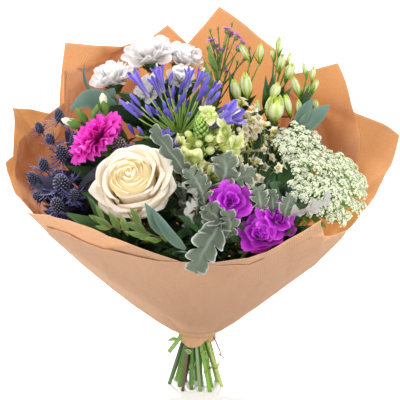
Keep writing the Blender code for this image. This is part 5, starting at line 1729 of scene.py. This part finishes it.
SHADE_FILLING = {
    # stem: the tips of the broad near-black leaves, painted shade, that it spreads through the
    # inside of the bouquet
    "pistache_stem": ((-100, -86, 240), (-88, -96, 235), (-112, -70, 248), (-72, -104, 231),
        (-54, -112, 227), (-98, -98, 228), (-40, -118, 222), (-84, -108, 226)),
    "rose_stem": ((-96, -60, 258), (-120, -56, 252), (-84, -80, 246), (-30, -116, 224),
        (-36, -102, 238), (-26, -84, 256), (-22, -60, 278), (-106, -40, 262)),
    "purple_carnation_stem_1": ((-10, -120, 219), (10, -122, 215), (0, -104, 233), (18, -104, 238),
        (30, -84, 254), (6, -84, 262), (-8, -96, 248), (32, -92, 208), (29, -100, 199),
        (41, -88, 202), (-21, -70, 225), (-4, -60, 234), (-33, -80, 219), (16, -60, 261)),
    "purple_carnation_stem_3": ((32, -120, 212), (52, -116, 214), (92, -98, 224), (106, -86, 232),
        (118, -72, 240), (98, -78, 244), (60, -60, 254), (82, -50, 260), (120, -92, 222),
        (76, -110, 216)),
    "purple_carnation_stem_2": ((50, 0, 262), (62, 6, 268), (74, 10, 272), (86, 14, 276),
        (44, 20, 280), (56, 26, 288), (70, 30, 292), (84, 34, 294), (60, -14, 256), (78, -10, 262),
        (92, -6, 264), (104, 6, 270), (38, -30, 260), (26, -50, 256), (14, -66, 254),
        (-4, -76, 250), (-16, -96, 236), (22, -90, 244), (46, -60, 256), (66, -40, 258),
        (88, -30, 256)),
    "agapanthus_stem": ((-90, -26, 276), (-72, -18, 288), (-60, 4, 298), (-44, -20, 296),
        (-36, 36, 316), (-16, 60, 326), (4, 60, 330), (18, 34, 318), (30, 16, 304), (48, -40, 268),
        (34, -16, 284), (6, 8, 300), (-14, 30, 306), (14, -8, 290), (24, -6, 296), (30, -2, 288),
        (8, -20, 282)),
    "pink_carnation_stem": ((-112, 10, 292), (-86, 22, 304), (-120, -10, 274), (-132, -20, 264),
        (-138, 12, 280), (-126, 30, 290), (-96, 0, 284)),
    "chrysanthemum_spray": ((-62, 30, 312), (-100, 40, 314), (-40, 60, 326), (-80, 60, 322),
        (-20, 84, 334), (10, 84, 338), (-60, 70, 318), (-30, 100, 330)),
    "alstroemeria_1": ((36, 40, 318), (50, 50, 324), (66, 60, 326), (40, 86, 344), (58, 84, 344),
        (62, 20, 300), (48, 10, 290), (74, 40, 312)),
    "alstroemeria_2": ((82, 60, 324), (84, 84, 342), (98, 50, 312), (96, 76, 334), (84, 30, 302),
        (96, 20, 294), (72, 0, 280), (86, -6, 276)),
    "alstroemeria_3": ((112, 40, 300), (120, 60, 316), (108, 20, 290), (126, 74, 326),
        (128, 40, 300), (104, 0, 272), (92, -30, 258)),
    "eryngium_spray_1": ((-128, 10, 262), (-146, 20, 268), (-120, 0, 252), (-138, 30, 286),
        (-112, 20, 276), (-156, 30, 262), (-126, 44, 296), (-150, 0, 256), (-136, -12, 266),
        (-108, 8, 262)),
    "eryngium_spray_2": ((-120, -40, 244), (-136, -20, 244), (-112, -30, 256), (-150, -30, 240),
        (-132, -52, 232), (-146, -8, 250), (-108, -56, 246), (-116, -66, 236), (-104, -20, 268),
        (-158, -20, 236), (-126, -64, 226), (-112, -78, 226)),
    "eryngium_spray_3": ((-96, -30, 270), (-84, -36, 276), (-102, -12, 280), (-112, -24, 262),
        (-92, -6, 286)),
}


# stem: the angles of the wrap between which it spreads more near-black leaves, painted shade, just
# inside the rim
RIM_FILLING = {
    "pistache_stem": (220, 252),
    "purple_carnation_stem_1": (252, 280),
    "purple_carnation_stem_3": (280, 330),
    "eryngium_spray_2": (186, 220),
}


def rim_tips(low, high):
    """Places just inside the rim of the wrap between two angles."""
    tips = []
    for angle in np.arange(low, high, 6.0):
        for below in (6, 26, 50):
            height = rim_height(np.array([angle]))[0] - below - rng.uniform(0, 12)
            tips.append(wrap_point(np.array(angle), np.array(height), 0, -12.0))
    return tips


OVAL_FILLING = ("rose", "chrysanthemum", "eryngium")
FILLING_REACH = 58


def build_shade_filling():
    """Broad leaves from the stems outwards that close the gaps between the flowers, near black as
    painted shade.
    """
    for node, tips in SHADE_FILLING.items():
        soup = Soup()
        path = stem_path(node)
        slim = 0.7 if node.startswith("alstroemeria") else 1.0
        outline = OVAL if node.startswith(OVAL_FILLING) else BLADE
        for tip in (*tips, *rim_tips(*RIM_FILLING.get(node, (0, 0)))):
            for shift in (vec(0, 0, 0), rng.uniform(-9, 9, 3)):
                end = vec(*tip) + shift + rng.uniform(-3, 3, 3)
                root = along(path, min(end[2] - 34, path[-1, 2] - 2))
                away = max(np.linalg.norm(root - end), 1)
                foot = end + (root - end) * min(1.0, FILLING_REACH / away)
                bow = unit(vec(end[0] - foot[0], end[1] - foot[1], 40))
                middle = (foot + end) / 2 + bow * 7
                leaf_curve(soup, [foot, foot + (middle - foot) * 0.5 + bow * 2, middle, end],
                           rng.uniform(14, 21) * slim, outline,
                           facing=unit(TO_FRONT + rng.uniform(-0.5, 0.5, 3)), cup=0.25,
                           roll=rng.uniform(-0.6, 0.6))
        add_piece(node + "_shade_filling_leaves", soup, PAINTED_SHADE_LEAF if "eryngium" in node else DARK_LEAF)


PLAIN_STEMS = (
    # stem, the look of its leaves, then their lowest, highest, count, length, width and outline
    ("rose_stem", DARK_LEAF, 130, 232, 26, 50, 25, OVAL),
    ("pink_carnation_stem", SILVER_LEAF, 150, 268, 12, 44, 5, BLADE),
    ("purple_carnation_stem_1", DARK_LEAF, 130, 230, 22, 46, 9, BLADE),
    ("purple_carnation_stem_2", SILVER_LEAF, 130, 200, 12, 42, 5, BLADE),
    ("purple_carnation_stem_3", DARK_LEAF, 130, 210, 22, 46, 9, BLADE),
    ("agapanthus_stem", DARK_LEAF, 170, 282, 30, 62, 17, BLADE),
    ("chrysanthemum_spray", DARK_LEAF, 170, 318, 36, 46, 20, OVAL),
)


def build_plain_stems():
    """The bare stems and the leaves on them; the dark ones inside the wrap are near black as
    painted shade.
    """
    for node, look, *leaf in PLAIN_STEMS:
        stalk, leaves = Soup(), Soup()
        path = add_stem(stalk, node, joints=(22, 44, 96, 150, 204))
        leafy(leaves, path, *leaf, turn=rng.uniform(0, 360))
        if node == "chrysanthemum_spray":
            for middle, axis, size in CHRYSANTHEMUMS:
                foot = vec(*middle) - unit(axis) * (4 + 10) * size
                limb(stalk, along(path, foot[2] - 55), foot, 1.5, (0, 0, 3), 1.3)
                leaf_curve(leaves, [foot - step for step in (UP * 16, (8, 6, 12), (16, 12, 10))], 6)
        if node == "pink_carnation_stem":
            limb(stalk, path[-1], PINK_PLACE.out((0, 0, -21)), 2.0, (0, 0, 2))
            build_side_buds(stalk, path)
        add_piece(node + "_stalk", stalk, STEM_LOOKS[STEMS[node][3]], node)
        add_piece(node + "_leaves", leaves, look)


SIDE_BUDS = (
    # foot, tip, width, how much of the petals shows
    ((-126, 20, 299), (-149, 20, 308), 11, 0.2), ((-100, 30, 310), (-104, 34, 334), 12, 0.65),
    ((-120, 22, 302), (-132, 22, 320), 9, 0.0), ((-115, 20, 305), (-108, 22, 324), 8, 0.0))


def build_side_buds(stalk, path):
    """Small buds beside the pink carnation: a green cup with the petals' tip in it."""
    cups, tips = Soup(), Soup()
    for foot, tip, width, shown in SIDE_BUDS:
        foot, tip = vec(*foot), vec(*tip)
        limb(stalk, along(path, foot[2] - 34), foot, 1.2, (-3, 0, 0), 1.0)
        way, length = unit(tip - foot), np.linalg.norm(tip - foot)
        place = Place(foot, way)
        scale = (width, length)
        middle = scale * np.array(((0.2, 0), (0.5, 0.3), (0.42, 0.6), (0.14, 1 - shown * 0.4)))
        side = scale * np.array(((0.2, 0), (0.46, 0.3), (0.36, 0.5), (0.34, 0.72 - shown * 0.4)))
        for azimuth in (0, 90, 180, 270):
            cup_petal(cups, place, azimuth, 54, middle, side, 0.2, 0.1, (9, 7), 0.9)
        tips.turned(place, length * np.array((0.2, 0.5, 0.8, 0.97 if shown else 0.86)),
                    np.array((0.3, 0.4, 0.34 if shown else 0.1, 0.08)) * width, own=rng.random(),
                    sides=10, tone=1.0 if shown else 0.0)
    add_piece("side_bud_cups", cups, FRESH_LEAF)
    add_piece("side_bud_tips", tips, CREAM)


DRY_TWIG = petal_material("dry_twig", [(0.0, (0.16, 0.08, 0.05)), (1.0, (0.11, 0.06, 0.04))],
    vein=0.3, through=0.0, roughness=0.7)


FOOT_LEAVES = (
    # foot, tip
    ((-22, -11, 58), (-34, -12, 55)), ((-6, -14, 40), (-14, -18, 47)),
    ((6, -14, 44), (12, -19, 36)), ((-2, -15, 30), (-9, -19, 24)))
DRY_TWIGS = (
    # tip, foot, radius
    ((25, -12, 45), (11, -8, 72), 1.0), ((26, -12, 36), (25, -12, 45), 0.8),
    ((31, -13, 33), (25, -12, 39), 0.6), ((15, -11, 28), (13, -9, 50), 0.8))


def build_foot_shoots():
    """What is left of side shoots between the stems under the wrap: a cut one and a dry twig."""
    shoot, twig = Soup(), Soup()
    limb(shoot, vec(-9, -6, 74), vec(-32, -15, 43), 2.3, (2, 0, 2), 2.6, sides=10)
    for foot, tip in FOOT_LEAVES:
        foot, tip = vec(*foot), vec(*tip)
        leaf_curve(shoot, [foot, (foot + tip) / 2 + UP, tip], 5, facing=vec(0, -1, 0.3), cup=0.4,
                   own=0.4)
    for end, foot, radius in DRY_TWIGS:
        limb(twig, vec(*end), vec(*foot), radius * 0.8, (0.8, 0, 0.5), radius)
    add_piece("cut_side_shoot", shoot, STEM_LOOKS["fresh"])
    add_piece("dry_twig", twig, DRY_TWIG)


def build_string():
    """Twine wound round the stems at the neck: two plies twisted about each other."""
    soup = Soup()
    radius, pitch, turns, twists, ply_offset, ply_radius = 17.1, 1.25, 2.6, 11, 0.28, 0.36
    t = np.linspace(0, turns * 2 * math.pi, 240)
    out = np.stack([np.cos(t), np.sin(t), 0 * t], axis=-1)
    climb = TIE_HEIGHT + pitch * (t / (2 * math.pi) - turns / 2)
    middle = radius * out + climb[:, None] * UP
    for ply in (0, math.pi):
        twist = t * twists + ply
        path = middle + ply_offset * (np.cos(twist)[:, None] * out + np.sin(twist)[:, None] * UP)
        soup.tube(path, ply_radius, own=ply / 7, sides=6)
    twine = petal_material("twine", [(0.0, (0.55, 0.42, 0.24)), (1.0, (0.62, 0.5, 0.3))], vein=0.3,
                           fine=(30, 4), through=0.0, roughness=0.9)
    add_piece("twine", soup, twine, "binding_string")


build_dusty_miller()
build_eucalyptus()
build_pistache()
build_plain_stems()
build_shade_filling()
build_foot_shoots()
build_string()


# ---------------------------------------------------------------- last update

bpy.context.view_layer.update()
